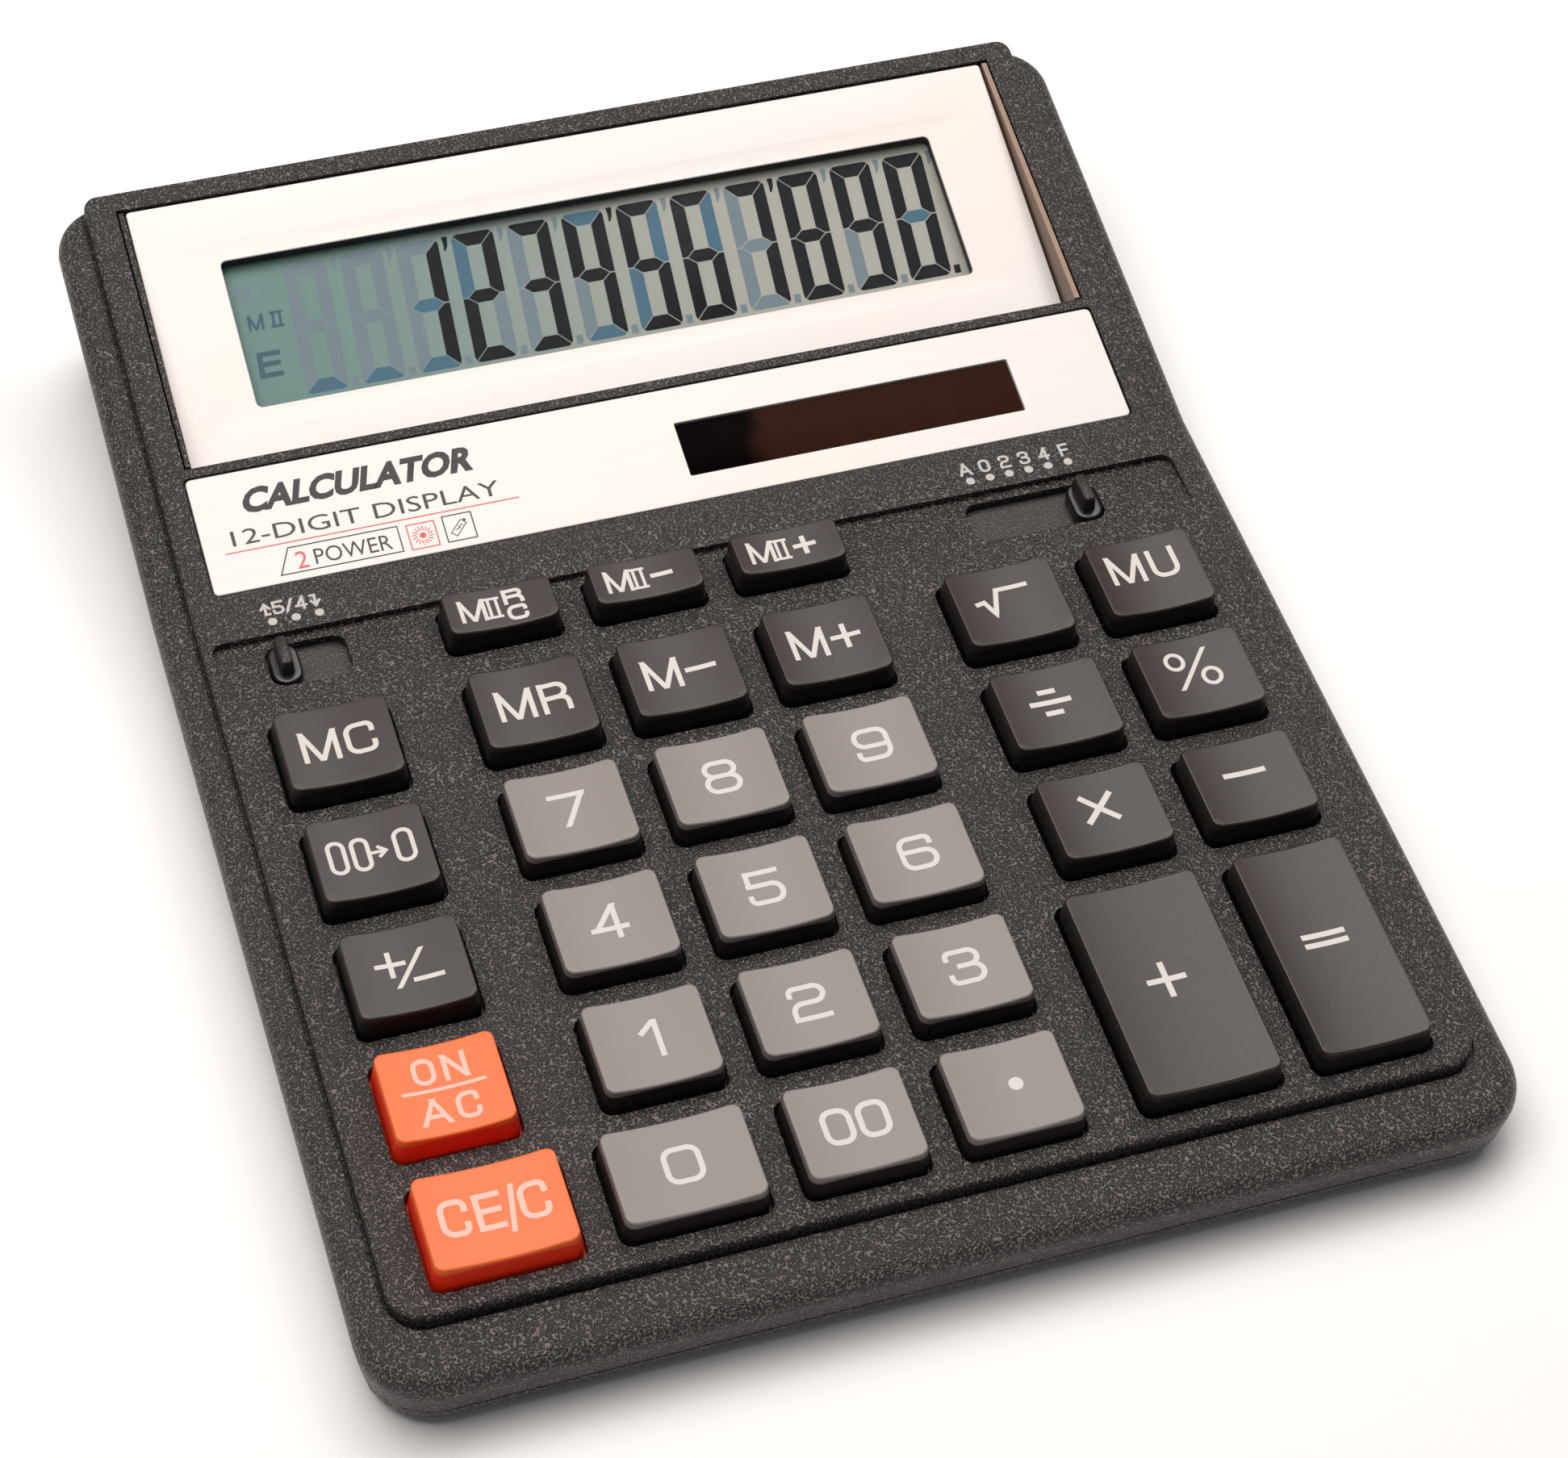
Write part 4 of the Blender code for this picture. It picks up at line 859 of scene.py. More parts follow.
SYMBOLS: dict[str, tuple[Stroke, ...]] = {
    "0": (loop(0, 0, 1, 1),),
    "O": (loop(0, 0, 1, 1),),
    "1": (straight((0.08, 0.72), (0.8, 0.98)), straight((1, 0), (1, 1))),
    "2": (bent((0, 0.78), (0, 1), (1, 1), (1, 0.5), (0, 0.5), (0, 0.02)), straight((0, 0), (1, 0))),
    "3": (
        bent((0, 0.8), (0, 1), (0.95, 1), (0.95, 0.53), (0.35, 0.53)),
        bent((0.35, 0.53), (1, 0.53), (1, 0), (0, 0), (0, 0.22)),
    ),
    "4": (straight((0.74, 0), (0.74, 1)), leaning((0.13, 0.3), (0.72, 1)), straight((0, 0.27), (1, 0.27))),
    "5": (straight((0.95, 1), (0.04, 1), (0.04, 0.58)), bent((0.02, 0.58), (1, 0.58), (1, 0), (0, 0), (0, 0.2))),
    "6": (bent((0.95, 0.8), (0.95, 1), (0, 1), (0, 0), (1, 0), (1, 0.56), (0, 0.56)),),
    "7": (straight((0, 1), (1, 1)), leaning((0.36, 0), (0.98, 0.98))),
    "8": (loop(0.04, 0.53, 0.96, 1), loop(0, 0, 1, 0.53)),
    "9": (bent((0, 0.2), (0, 0), (1, 0), (1, 1), (0, 1), (0, 0.44), (1, 0.44)),),
    "A": (leaning((0, 0), (0.5, 1)), leaning((1, 0), (0.5, 1)), straight((0.18, 0.3), (0.82, 0.3))),
    "C": (bent((1, 0.74), (1, 1), (0, 1), (0, 0), (1, 0), (1, 0.26)),),
    "E": (straight((1, 1), (0, 1), (0, 0), (1, 0)), straight((0, 0.52), (0.94, 0.52))),
    "F": (straight((0, 0), (0, 1), (1, 1)), straight((0, 0.5), (0.85, 0.5))),
    "M": (straight((0, 0), (0, 1)), straight((1, 0), (1, 1)), leaning((0.02, 1), (0.47, 0.02)),
          leaning((0.98, 1), (0.53, 0.02))),
    "N": (straight((0, 0), (0, 1)), straight((1, 0), (1, 1)), leaning((0.02, 1), (0.98, 0))),
    "R": (bent((0, 0.98), (0.96, 0.98), (0.96, 0.48), (0, 0.48)), straight((0, 0), (0, 1)),
          bent((0.6, 0.48), (1, 0.44), (1, 0))),
    "U": (bent((0, 1), (0, 0), (1, 0), (1, 1)),),
    "Y": (straight((0.1, 1), (0.1, 0)), straight((0.9, 1), (0.9, 0)), straight((-0.12, 1), (1.12, 1)),
          straight((-0.12, 0), (1.12, 0))),
    "/": (leaning((0, 0), (1, 1)),),
    "-": (straight((0, 0.5), (1, 0.5)),),
    "I": (straight((0.5, 1), (0.5, 0)), straight((0, 1), (1, 1)), straight((0, 0), (1, 0))),
    "=": (straight((0, 0), (1, 0)), straight((0, 1), (1, 1))),
    "+": (straight((0, 0.5), (1, 0.5)), straight((0.5, 0), (0.5, 1))),
    "x": (straight((0, 0), (1, 1)), straight((0, 1), (1, 0))),
    ":": (straight((0, 0.5), (1, 0.5)), straight((0.33, 0), (0.67, 0)), straight((0.33, 1), (0.67, 1))),
    "v": (straight((0, 0.52), (0.13, 0.58), (0.27, 0.06), (0.44, 1), (1, 1)),),
    "%": (loop(0, 0.56, 0.36, 1), loop(0.64, 0, 1, 0.44), leaning((0.14, 0), (0.86, 1))),
    ">": (straight((0, 0.5), (0.9, 0.5)), straight((0.5, 0.95), (1, 0.5), (0.5, 0.05))),
    "^": (straight((0.6, 0.05), (0.6, 0.8)), straight((0.15, 0.55), (0.6, 0.95), (1.05, 0.55)),
          straight((0.55, 0.04), (1.0, 0.04))),
    "_": (straight((0.4, 0.95), (0.4, 0.2)), straight((-0.05, 0.45), (0.4, 0.05), (0.85, 0.45)),
          straight((0.45, 0.96), (0, 0.96))),
}


@dataclass(frozen=True)
class Mark:
    """A symbol's outer box on its surface, in metres.

    Attributes:
        symbol: Key of the symbol table, or "o" for a round dot.
        x: Middle of the box.
        y: Middle of the box.
        width: Box width.
        height: Box height.
        weight: Stroke thickness.
        lean: Slant to the right, as x for each y.
    """

    symbol: str
    x: float
    y: float
    width: float
    height: float
    weight: float = 0.9 * MM
    lean: float = 0.0


class Lettering:
    """Turns marks into thin printed solids that follow a surface."""

    def __init__(self, shape: Shape, surface: Surface, lift: float = 0.018 * MM, slot: int = 0) -> None:
        """Set what to print on.

        Args:
            shape: The shape to add to.
            surface: Height of the printed surface at x and y.
            lift: How far the print stands proud.
            slot: Material slot of the print.
        """
        self.shape = shape
        self.surface = surface
        self.lift = lift
        self.slot = slot
        self.count = 0

    def put(self, mark: Mark) -> None:
        """Print one mark.

        Args:
            mark: The symbol and its box.
        """
        if mark.symbol == "o":
            ring = [
                (mark.x + mark.width / 2 * math.cos(turn), mark.y + mark.height / 2 * math.sin(turn))
                for turn in (2 * math.pi * step / 20 for step in range(20))
            ]
            self._slab(ring)
            return
        span_x = mark.width - mark.weight
        span_y = mark.height - mark.weight
        for stroke in SYMBOLS[mark.symbol]:
            points = [Vector(((x - 0.5) * span_x, (y - 0.5) * span_y)) for x, y in stroke.points]
            if not stroke.shut and stroke.ends is not Ends.LEVEL:
                points[0] = points[0] + (points[0] - points[1]).normalized() * (mark.weight / 2)
                points[-1] = points[-1] + (points[-1] - points[-2]).normalized() * (mark.weight / 2)
            if stroke.ends is Ends.ROUND:
                radius = min(0.3 * mark.height, 0.34 * mark.width, 1.25 * MM)
                points = round_off(points, radius, stroke.shut)
            for piece, level in self._pieces(points, stroke, mark):
                self._ribbon(piece, mark, stroke.shut, level)

    @staticmethod
    def _pieces(points: list[Vector], stroke: Stroke, mark: Mark) -> list[tuple[list[Vector], bool]]:
        """Split a level-cut stroke into its straight pieces.

        Args:
            points: The stroke's path.
            stroke: The stroke.
            mark: The mark it belongs to.

        Returns:
            Each piece's path and whether its ends are cut level.
        """
        if stroke.ends is not Ends.LEVEL:
            return [(points, False)]
        reach = mark.weight / 2
        pieces = []
        for start, end in zip(points, points[1:]):
            low, high = (start, end) if start.y <= end.y else (end, start)
            along = (high - low) / max(1e-9, high.y - low.y)
            pieces.append(([low - along * reach, high + along * reach], True))
        return pieces

    def draw(self, points: list[Vector], weight: float, shut: bool = False, x: float = 0.0, y: float = 0.0) -> None:
        """Print one plain stroke.

        Args:
            points: Its corners round x and y.
            weight: Its thickness.
            shut: Whether it closes on itself.
            x: Where the corners are measured from.
            y: Where the corners are measured from.
        """
        self._ribbon(points, Mark("-", x, y, 0, 0, weight), shut, False)

    def _ribbon(self, points: list[Vector], mark: Mark, shut: bool, level: bool) -> None:
        """Add one stroke as a thin solid.

        Args:
            points: The stroke's path round the mark's middle.
            mark: The mark it belongs to.
            shut: Whether it closes on itself.
            level: Whether its ends are cut level.
        """
        points = resample(points, 0.55 * MM, shut)
        rings = []
        self.count += 1
        lift = self.lift + 0.0015 * MM * (self.count % 7)
        for index, point in enumerate(points):
            if shut:
                before = points[index - 1]
                after = points[(index + 1) % len(points)]
            else:
                before = points[max(0, index - 1)]
                after = points[min(len(points) - 1, index + 1)]
            side = self._side(before, point, after, level) * (mark.weight / 2)
            ring = []
            for edge, top in ((side, True), (-side, True), (-side, False), (side, False)):
                x = mark.x + point.x + edge.x + mark.lean * (point.y + edge.y)
                y = mark.y + point.y + edge.y
                ring.append((x, y, self.surface(x, y) + (lift if top else -PRINT_ROOT)))
            rings.append(ring)
        self.shape.loft(rings, ring_shut=shut, slot=self.slot)

    @staticmethod
    def _side(before: Vector, point: Vector, after: Vector, level: bool) -> Vector:
        """The sideways direction at a point, longer at a corner and level where cut so.

        Args:
            before: The point before it.
            point: The point.
            after: The point after it.
            level: Whether the stroke's ends are cut level.

        Returns:
            The direction, as long as the stroke's edge needs it.
        """
        if level:
            along = (after - before).normalized()
            return Vector((-1.0 / max(0.25, abs(along.y)), 0.0))
        first = (point - before).normalized() if (point - before).length > 1e-9 else (after - point).normalized()
        second = (after - point).normalized() if (after - point).length > 1e-9 else first
        mean = Vector((-(first.y + second.y), first.x + second.x))
        if mean.length < 1e-6:
            return Vector((-first.y, first.x))
        mean.normalize()
        return mean / max(0.45, mean.dot(Vector((-first.y, first.x))))

    def _slab(self, outline: Sequence[Point2]) -> None:
        """Add a filled outline as a thin solid."""
        self.shape.prism(
            outline,
            lambda x, y: self.surface(x, y) - PRINT_ROOT,
            lambda x, y: self.surface(x, y) + self.lift,
            self.slot,
        )


def round_off(points: list[Vector], radius: float, shut: bool) -> list[Vector]:
    """Replace corners by arcs.

    Args:
        points: Corner points.
        radius: Wanted radius.
        shut: Whether the last point joins the first.

    Returns:
        The points of the rounded path.
    """
    result: list[Vector] = []
    count = len(points)
    for index, point in enumerate(points):
        if not shut and index in (0, count - 1):
            result.append(point)
            continue
        before = points[index - 1] - point
        after = points[(index + 1) % count] - point
        room = min(before.length, after.length) * 0.5
        reach = min(radius, room * 0.98)
        start = point + before.normalized() * reach
        end = point + after.normalized() * reach
        for step in range(7):
            t = step / 6
            pull = point * 0.75 + (start + end) * 0.125
            result.append((1 - t) ** 2 * start + 2 * t * (1 - t) * pull + t * t * end)
    return result


def resample(points: list[Vector], longest: float, shut: bool) -> list[Vector]:
    """Add points so that no straight piece is longer than a limit.

    Args:
        points: The path.
        longest: The limit.
        shut: Whether the last point joins the first.

    Returns:
        The longer list of points.
    """
    result: list[Vector] = []
    pairs = list(zip(points, points[1:])) + ([(points[-1], points[0])] if shut else [])
    for start, end in pairs:
        parts = max(1, math.ceil((end - start).length / longest))
        for part in range(parts):
            result.append(start.lerp(end, part / parts))
    if not shut:
        result.append(points[-1])
    return result


def row(symbols: str, x: float, y: float, height: float, widths: Sequence[float], space: float,
        weight: float = 0.9 * MM) -> tuple[Mark, ...]:
    """Marks of one height in a row.

    Args:
        symbols: The symbols, left to right.
        x: Middle of the row.
        y: Middle of the row.
        height: Height of every symbol.
        widths: Width of each symbol.
        space: Space between symbols.
        weight: Stroke thickness.

    Returns:
        The marks.
    """
    at = x - (sum(widths) + space * (len(widths) - 1)) / 2
    marks = []
    for symbol, width in zip(symbols, widths):
        marks.append(Mark(symbol, at + width / 2, y, width, height, weight))
        at += width + space
    return tuple(marks)


# Keys


class KeySize(Enum):
    """Top face sizes, width and depth in millimetres."""

    REGULAR = (15.9, 14.0)
    SHORT = (15.9, 7.8)
    WIDE = (18.9, 14.0)
    TALL = (15.9, 33.45)
    TALL_WIDE = (18.9, 33.45)


def legend(symbols: str, widths: Sequence[float], height: float = 5.4, x: float = 0.0, y: float = 0.2,
           space: float = 0.9, weight: float = 0.76) -> tuple[Mark, ...]:
    """A key legend in millimetres, centred on the key unless it is moved."""
    return row(symbols, x * MM, y * MM, height * MM, [width * MM for width in widths], space * MM, weight * MM)


def spot(symbol: str, x: float, y: float, width: float, height: float, weight: float = 0.76) -> Mark:
    """A single mark in millimetres."""
    return Mark(symbol, x * MM, y * MM, width * MM, height * MM, weight * MM)


@dataclass(frozen=True)
class Key:
    """One key cap with its legend.

    Attributes:
        node: The CAD node it stands for.
        marks: The legend.
        size: Which cap it is.
        finish: The cap's finish.
        ink: The legend's finish.
    """

    node: str
    marks: tuple[Mark, ...]
    size: KeySize = KeySize.REGULAR
    finish: KeyPlastic = KEY_BLACK
    ink: Finish = LEGEND_WHITE

    height: float = 4.0 * MM
    dish: float = 0.8 * MM
    draft: float = 0.45 * MM
    corner: float = 1.3 * MM
    edge: float = 0.32 * MM
    wall: float = 1.3 * MM
    stem: float = 1.7 * MM
    flange: float = 0.8 * MM
    flange_top: float = -2.3 * MM
    flange_low: float = -3.1 * MM

    def top(self, x: float, y: float = 0.0) -> float:
        """Height of the dished top at x."""
        half = self.size.value[0] * MM / 2
        radius = (half * half + self.dish * self.dish) / (2 * self.dish)
        return self.height - self.dish + radius - math.sqrt(radius * radius - min(x * x, half * half))

    def build(self) -> bpy.types.Object:
        """Make the cap and print its legend.

        Returns:
            The finished key.
        """
        low, high = (Vector(corner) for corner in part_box(self.node))
        centre = KEYPAD.local((low + high) / 2)
        place = KEYPAD.matrix @ Vector((centre.x, centre.y, 0))
        shape = Shape(Plane(place, KEYPAD.slope))
        shape.loft(self._rings())
        printer = Lettering(shape, self.top, slot=1)
        for mark in self.marks:
            printer.put(mark)
        key = shape.settle(self.node.replace("key_", "keycap_"), self.finish, self.ink, smooth=40.0)
        keep_flats(key)
        return key

    def _rings(self) -> list[list[tuple[float, float, float]]]:
        """Rings from the stem's foot out and over the cap to the middle of its top."""
        width, depth = (side * MM for side in self.size.value)

        def plan(grow: float, corner: float | None = None) -> list[Point2]:
            """The key's outline, grown."""
            radius = max(0.15 * MM, self.corner + grow if corner is None else corner)
            return rounded_rect(width / 2 + grow, depth / 2 + grow, radius, 5, 10, 4)

        def at(outline: list[Point2], z: float) -> list[tuple[float, float, float]]:
            """The outline at one height."""
            return [(x, y, z) for x, y in outline]

        def under_top(outline: list[Point2], drop: float) -> list[tuple[float, float, float]]:
            """The outline a drop below the dished top."""
            return [(x, y, self.top(x) - drop) for x, y in outline]

        outer = plan(self.draft)
        inner = plan(self.draft - self.wall, 0.6 * MM)
        ceiling = self.height - self.dish - self.wall
        stem = [self._toward_circle(point) for point in inner]
        rings = [
            at(stem, self.flange_top + 0.3 * MM),
            at(stem, ceiling),
            at(inner, ceiling),
            at(inner, self.flange_low),
            at(plan(self.draft + self.flange, 0.5 * MM), self.flange_low),
            at(plan(self.draft + self.flange, 0.5 * MM), self.flange_top),
            at(outer, self.flange_top),
            at(outer, 0.0),
        ]
        for step in range(6):
            turn = math.radians(90 * step / 5)
            inset = self.edge * (1 - math.cos(turn))
            rings.append(under_top(plan(-inset), self.edge * (1 - math.sin(turn))))
        rim = plan(-self.edge)
        for share in (0.9, 0.75, 0.55, 0.3, 0.08):
            rings.append(under_top([(x * share, y * share) for x, y in rim], 0.0))
        return rings

    def _toward_circle(self, point: Point2) -> Point2:
        """The point of the stem's round plan in the same direction."""
        direction = Vector(point).normalized()
        return tuple(direction * self.stem)


def make_key_list() -> list[Key]:
    """Every key with its legend, cap and colours."""
    orange = {"finish": KEY_ORANGE, "ink": LEGEND_PALE}
    grey = {"finish": KEY_GREY}
    short = {"size": KeySize.SHORT}
    second = (spot("M", -4.0, 0, 3.9, 4.1, 0.6), spot("Y", -0.95, 0, 1.9, 3.9, 0.45))
    keys = [
        Key("key_memory_clear", legend("MC", (5.3, 4.35))),
        Key("key_memory_recall", legend("MR", (5.3, 4.2))),
        Key("key_memory_minus", legend("M", (5.3,), x=-2.8) + (spot("-", 2.8, 0.1, 4.5, 0.9, 0.8),)),
        Key("key_memory_plus", legend("M", (5.3,), x=-2.7) + (spot("+", 2.9, 0.3, 4.4, 4.4),)),
        Key("key_root", (spot("v", -0.7, 0.5, 8.6, 5.4, 0.75),)),
        Key("key_markup", legend("MU", (5.3, 4.2), x=-0.4, y=1.5, space=1.1)),
        Key("key_backspace", legend("00", (2.7, 2.7), 5.7, x=-3.15, space=0.55, weight=0.62)
            + legend("0", (2.9,), 5.7, x=4.45, weight=0.62) + (spot(">", 0.95, 0.1, 2.3, 2.2, 0.5),)),
        Key("key_sign", (spot("+", -2.2, 1.0, 4.2, 4.2, 0.7), spot("/", 0.3, 0.0, 4.4, 5.8, 0.62),
                         spot("-", 2.4, -2.0, 4.2, 0.8, 0.7))),
        Key("key_on_all_clear", legend("ON", (3.1, 3.2), 4.1, y=3.05, space=1.0, weight=0.65)
            + (spot("-", -0.1, 0.05, 11.2, 0.5, 0.5),)
            + legend("AC", (3.9, 3.1), 4.1, x=-0.1, y=-3.2, space=0.9, weight=0.65), **orange),
        Key("key_clear_entry", legend("CE", (3.9, 3.6), 5.5, x=-3.1, space=0.8, weight=0.8)
            + (spot("/", 2.2, -0.1, 1.7, 6.9, 0.7),) + legend("C", (3.9,), 5.5, x=5.1, weight=0.8),
            KeySize.WIDE, **orange),
        Key("key_divide", (spot(":", -0.6, 0.7, 6.2, 4.7, 0.85),)),
        Key("key_percent", (spot("%", -0.3, 1.1, 7.6, 6.9, 0.62),)),
        Key("key_multiply", (spot("x", -0.5, 0.8, 4.9, 4.9, 0.85),)),
        Key("key_minus", (spot("-", -0.3, 1.2, 6.3, 0.85, 0.85),)),
        Key("key_plus", (spot("+", -0.4, 0.7, 5.6, 5.7, 0.85),), KeySize.TALL_WIDE),
        Key("key_equals", (spot("=", -0.3, 1.2, 6.3, 2.35, 0.85),), KeySize.TALL),
        Key("key_memory2_recall", tuple(second) + (spot("R", 2.2, 1.45, 3.0, 2.75, 0.6),
                                                 spot("C", 2.2, -1.6, 3.0, 2.75, 0.6)), **short),
        Key("key_memory2_minus", tuple(second) + (spot("-", 2.4, 0, 3.3, 0.75, 0.75),), **short),
        Key("key_memory2_plus", tuple(second) + (spot("+", 2.5, 0, 3.4, 3.4, 0.75),), **short),
        Key("key_0", legend("0", (5.3,), 5.6), KeySize.WIDE, **grey),
        Key("key_00", legend("00", (4.3, 4.3), 5.6, x=0.2, space=0.55, weight=0.8), **grey),
        Key("key_point", (spot("o", 0.75, 0.3, 2.0, 2.0),), **grey),
        Key("key_1", legend("1", (2.9,), 5.9, x=-0.1), **grey),
    ]
    for digit, x in (("2", 0.1), ("3", 0.5), ("4", -0.3), ("5", 0.1), ("6", 0.5), ("7", -0.2), ("8", 0.0), ("9", 0.4)):
        keys.append(Key(f"key_{digit}", legend(digit, (5.3,), 5.7, x=x), **grey))
    return keys


# Upper shell


@dataclass(frozen=True)
class UpperShell:
    """The upper shell: rounded rim, raised panel in a groove, wells, trough, slots and screen recess."""

    steps: int = 10
    panel_side: float = 5.1 * MM
    panel_front: float = 9.1 * MM
    panel_back: float = 0.7 * MM
    panel_front_corner: float = 5.0 * MM
    panel_back_corner: float = 2.2 * MM
    panel_round: float = 0.7 * MM
    panel_wall: float = 1.6 * MM
    groove: float = 0.5 * MM
    groove_depth: float = 0.9 * MM
    well_gap: float = 0.35 * MM
    well_edge: float = 0.22 * MM
    trough_half: float = 73.0 * MM
    trough_front: float = -19.5 * MM
    trough_back: float = -8.6 * MM
    trough_corner: float = 1.8 * MM
    slot_y: float = -14.1 * MM
    slot_depth: float = 7.9 * MM
    knob_width: float = 4.4 * MM
    strip_half: float = 70.6 * MM
    strip_low: float = 0.05 * MM
    strip_high: float = 20.5 * MM
    pocket: float = 1.0 * MM
    screen_half: float = 69.9 * MM
    ledge: float = 2.5 * MM
    seat: float = 1.9 * MM
    solar_half: Point2 = (27.85 * MM, 6.2 * MM)
    solar_middle: Point2 = (28.35 * MM, 9.3 * MM)

    def outline(
        self, half: float, front: float, back: float, front_corner: float, back_corner: float
    ) -> list[tuple[Vector, Vector]]:
        """Points and outward directions of a rounded plan with a pair of points at the fold.

        Args:
            half: Half its width.
            front: Its front edge.
            back: Its back edge.
            front_corner: Radius of its front corners.
            back_corner: Radius of its back corners.

        Returns:
            Each point with its outward direction.
        """
        points: list[tuple[Vector, Vector]] = []

        def arc(x: float, y: float, radius: float, start: float) -> None:
            """Add a quarter circle round x and y."""
            for step in range(self.steps + 1):
                turn = math.radians(start + 90 * step / self.steps)
                outward = Vector((math.cos(turn), math.sin(turn)))
                points.append((Vector((x, y)) + radius * outward, outward))

        arc(half - front_corner, front + front_corner, front_corner, -90)
        points.append((Vector((half, CASE.fold_y)), Vector((1, 0))))
        arc(half - back_corner, back - back_corner, back_corner, 0)
        arc(back_corner - half, back - back_corner, back_corner, 90)
        points.append((Vector((-half, CASE.fold_y)), Vector((-1, 0))))
        arc(front_corner - half, front + front_corner, front_corner, 180)
        return points

    def case_plan(self) -> list[tuple[Vector, Vector]]:
        """The plan of both shells."""
        return self.outline(CASE.half_width, CASE.front_y, CASE.back_y, CASE.front_corner, CASE.back_corner)

    def panel_plan(self) -> list[tuple[Vector, Vector]]:
        """The plan of the raised panel."""
        return self.outline(
            CASE.half_width - self.panel_side,
            CASE.front_y + self.panel_front,
            CASE.back_y - self.panel_back,
            self.panel_front_corner,
            self.panel_back_corner,
        )

    def loft(
        self,
        name: str,
        plan: list[tuple[Vector, Vector]],
        sections: Sequence[tuple[Callable[[float], float], Callable[[float], float]]],
        *finishes: Finish,
    ) -> bpy.types.Object:
        """A solid through sections of one plan, with its end faces split at the fold.

        Args:
            name: The object's name.
            plan: Points and outward directions.
            sections: Inset and height of each section, as functions of y.
            finishes: Finishes, or none for a cutter.

        Returns:
            The object.
        """
        shape = Shape()
        rings = []
        for inset, height in sections:
            ring = []
            for point, outward in plan:
                place = point - inset(point.y) * outward
                ring.append(shape.mesh.verts.new((place.x, place.y, height(place.y))))
            rings.append(ring)
        count = len(plan)
        for lower, upper in zip(rings, rings[1:]):
            for here in range(count):
                after = (here + 1) % count
                shape.mesh.faces.new((lower[here], lower[after], upper[after], upper[here]))
        right = self.steps + 1
        left = count - self.steps - 2
        for ring in (rings[0], rings[-1]):
            shape.mesh.faces.new(ring[right:left + 1])
            shape.mesh.faces.new(ring[left:] + ring[:right + 1])
        return shape.settle(name, *finishes)

    def build(self, keys: Sequence[Key], slots: Sequence[tuple[float, float]]) -> bpy.types.Object:
        """Make the shell.

        Args:
            keys: The keys that need wells.
            slots: Lowest and highest x of each switch slot.

        Returns:
            The finished shell.
        """
        low = CASE.parting + CASE.gap / 2
        sections = [(lambda y: CASE.wall_inset(y, low), lambda y: low)]
        for step in range(8):
            turn = math.radians(90 * step / 7)
            sections.append(self._arc_section(turn))
        shell = self.loft("upper_shell", self.case_plan(), sections, CASE_BLACK)
        moat = self.loft("moat", self.panel_plan(), [
            (lambda y: -self.groove, lambda y: CASE.rim_height(y) - self.groove_depth),
            (lambda y: -self.groove, lambda y: CASE.rim_height(y) + 5 * MM),
        ])
        panel_sections = [(lambda y: 0.0, lambda y: CASE.rim_height(y) - 1.7 * MM)]
        for step in range(5):
            panel_sections.append(self._panel_section(math.radians(90 * step / 4)))
        panel = self.loft("panel", self.panel_plan(), panel_sections)
        cavity = self.loft("cavity", self.case_plan(), [
            (lambda y: CASE.wall + CASE.wall_inset(y, low), lambda y: 0.0),
            (lambda y: CASE.wall, lambda y: CASE.rim_height(y) - CASE.wall),
        ])
        under = self.loft("under_panel", self.panel_plan(), [
            (lambda y: self.panel_wall, lambda y: CASE.rim_height(y) - 2 * CASE.wall),
            (lambda y: self.panel_wall, lambda y: CASE.panel_height(y) - CASE.wall),
        ])
        wells = self._wells(keys)
        trough = self._trough()
        slot_cut = self._slots(slots)
        pocket = self._pocket()
        solar = self._solar_gap()
        seat, opening, through = self._screen_seat()
        carve(shell, (Cut.TAKE, moat), (Cut.ADD, panel), (Cut.TAKE, cavity), (Cut.TAKE, under))
        carve(shell, (Cut.TAKE, trough), (Cut.TAKE, wells), (Cut.TAKE, slot_cut), (Cut.TAKE, pocket))
        carve(shell, (Cut.TAKE, solar), (Cut.ADD, seat), (Cut.TAKE, opening), (Cut.TAKE, through))
        helpers = (moat, panel, cavity, under, wells, trough, slot_cut, pocket, solar, seat, opening, through)
        bake_modifiers(shell, *helpers, smooth=32.0)
        keep_flats(shell)
        return shell

    @staticmethod
    def _arc_section(turn: float) -> tuple[Callable[[float], float], Callable[[float], float]]:
        """One section of the rounded rim."""
        inset = CASE.rim_round * (1 - math.cos(turn))
        drop = CASE.rim_round * (1 - math.sin(turn))
        return (lambda y: inset), (lambda y: CASE.rim_height(y) - drop)

    def _panel_section(self, turn: float) -> tuple[Callable[[float], float], Callable[[float], float]]:
        """One section of the panel's rounded edge."""
        inset = self.panel_round * (1 - math.cos(turn))
        drop = self.panel_round * (1 - math.sin(turn))
        return (lambda y: inset), (lambda y: CASE.panel_height(y) - drop)

    def _wells(self, keys: Sequence[Key]) -> bpy.types.Object:
        """Cutter for the key wells, each with a softened mouth.

        Args:
            keys: The keys that stand in them.

        Returns:
            The cutter.
        """
        shape = Shape(KEYPAD)
        for key in keys:
            low, high = (Vector(corner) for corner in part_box(key.node))
            centre = KEYPAD.local((low + high) / 2)
            half_x = key.size.value[0] * MM / 2 + key.draft + self.well_gap
            half_y = key.size.value[1] * MM / 2 + key.draft + self.well_gap
            sections = []
            for grow, height in ((0.0, -6 * MM), (0.0, -self.well_edge), (0.3, -0.3 * self.well_edge),
                                 (1.0, 0.0), (1.0, 6 * MM)):
                extra = grow * self.well_edge
                ring = rounded_rect(half_x + extra, half_y + extra, key.corner + self.well_gap + extra, 5)
                sections.append((shifted(ring, centre.x, centre.y), height))
            shape.stack(sections)
        return shape.settle("wells")

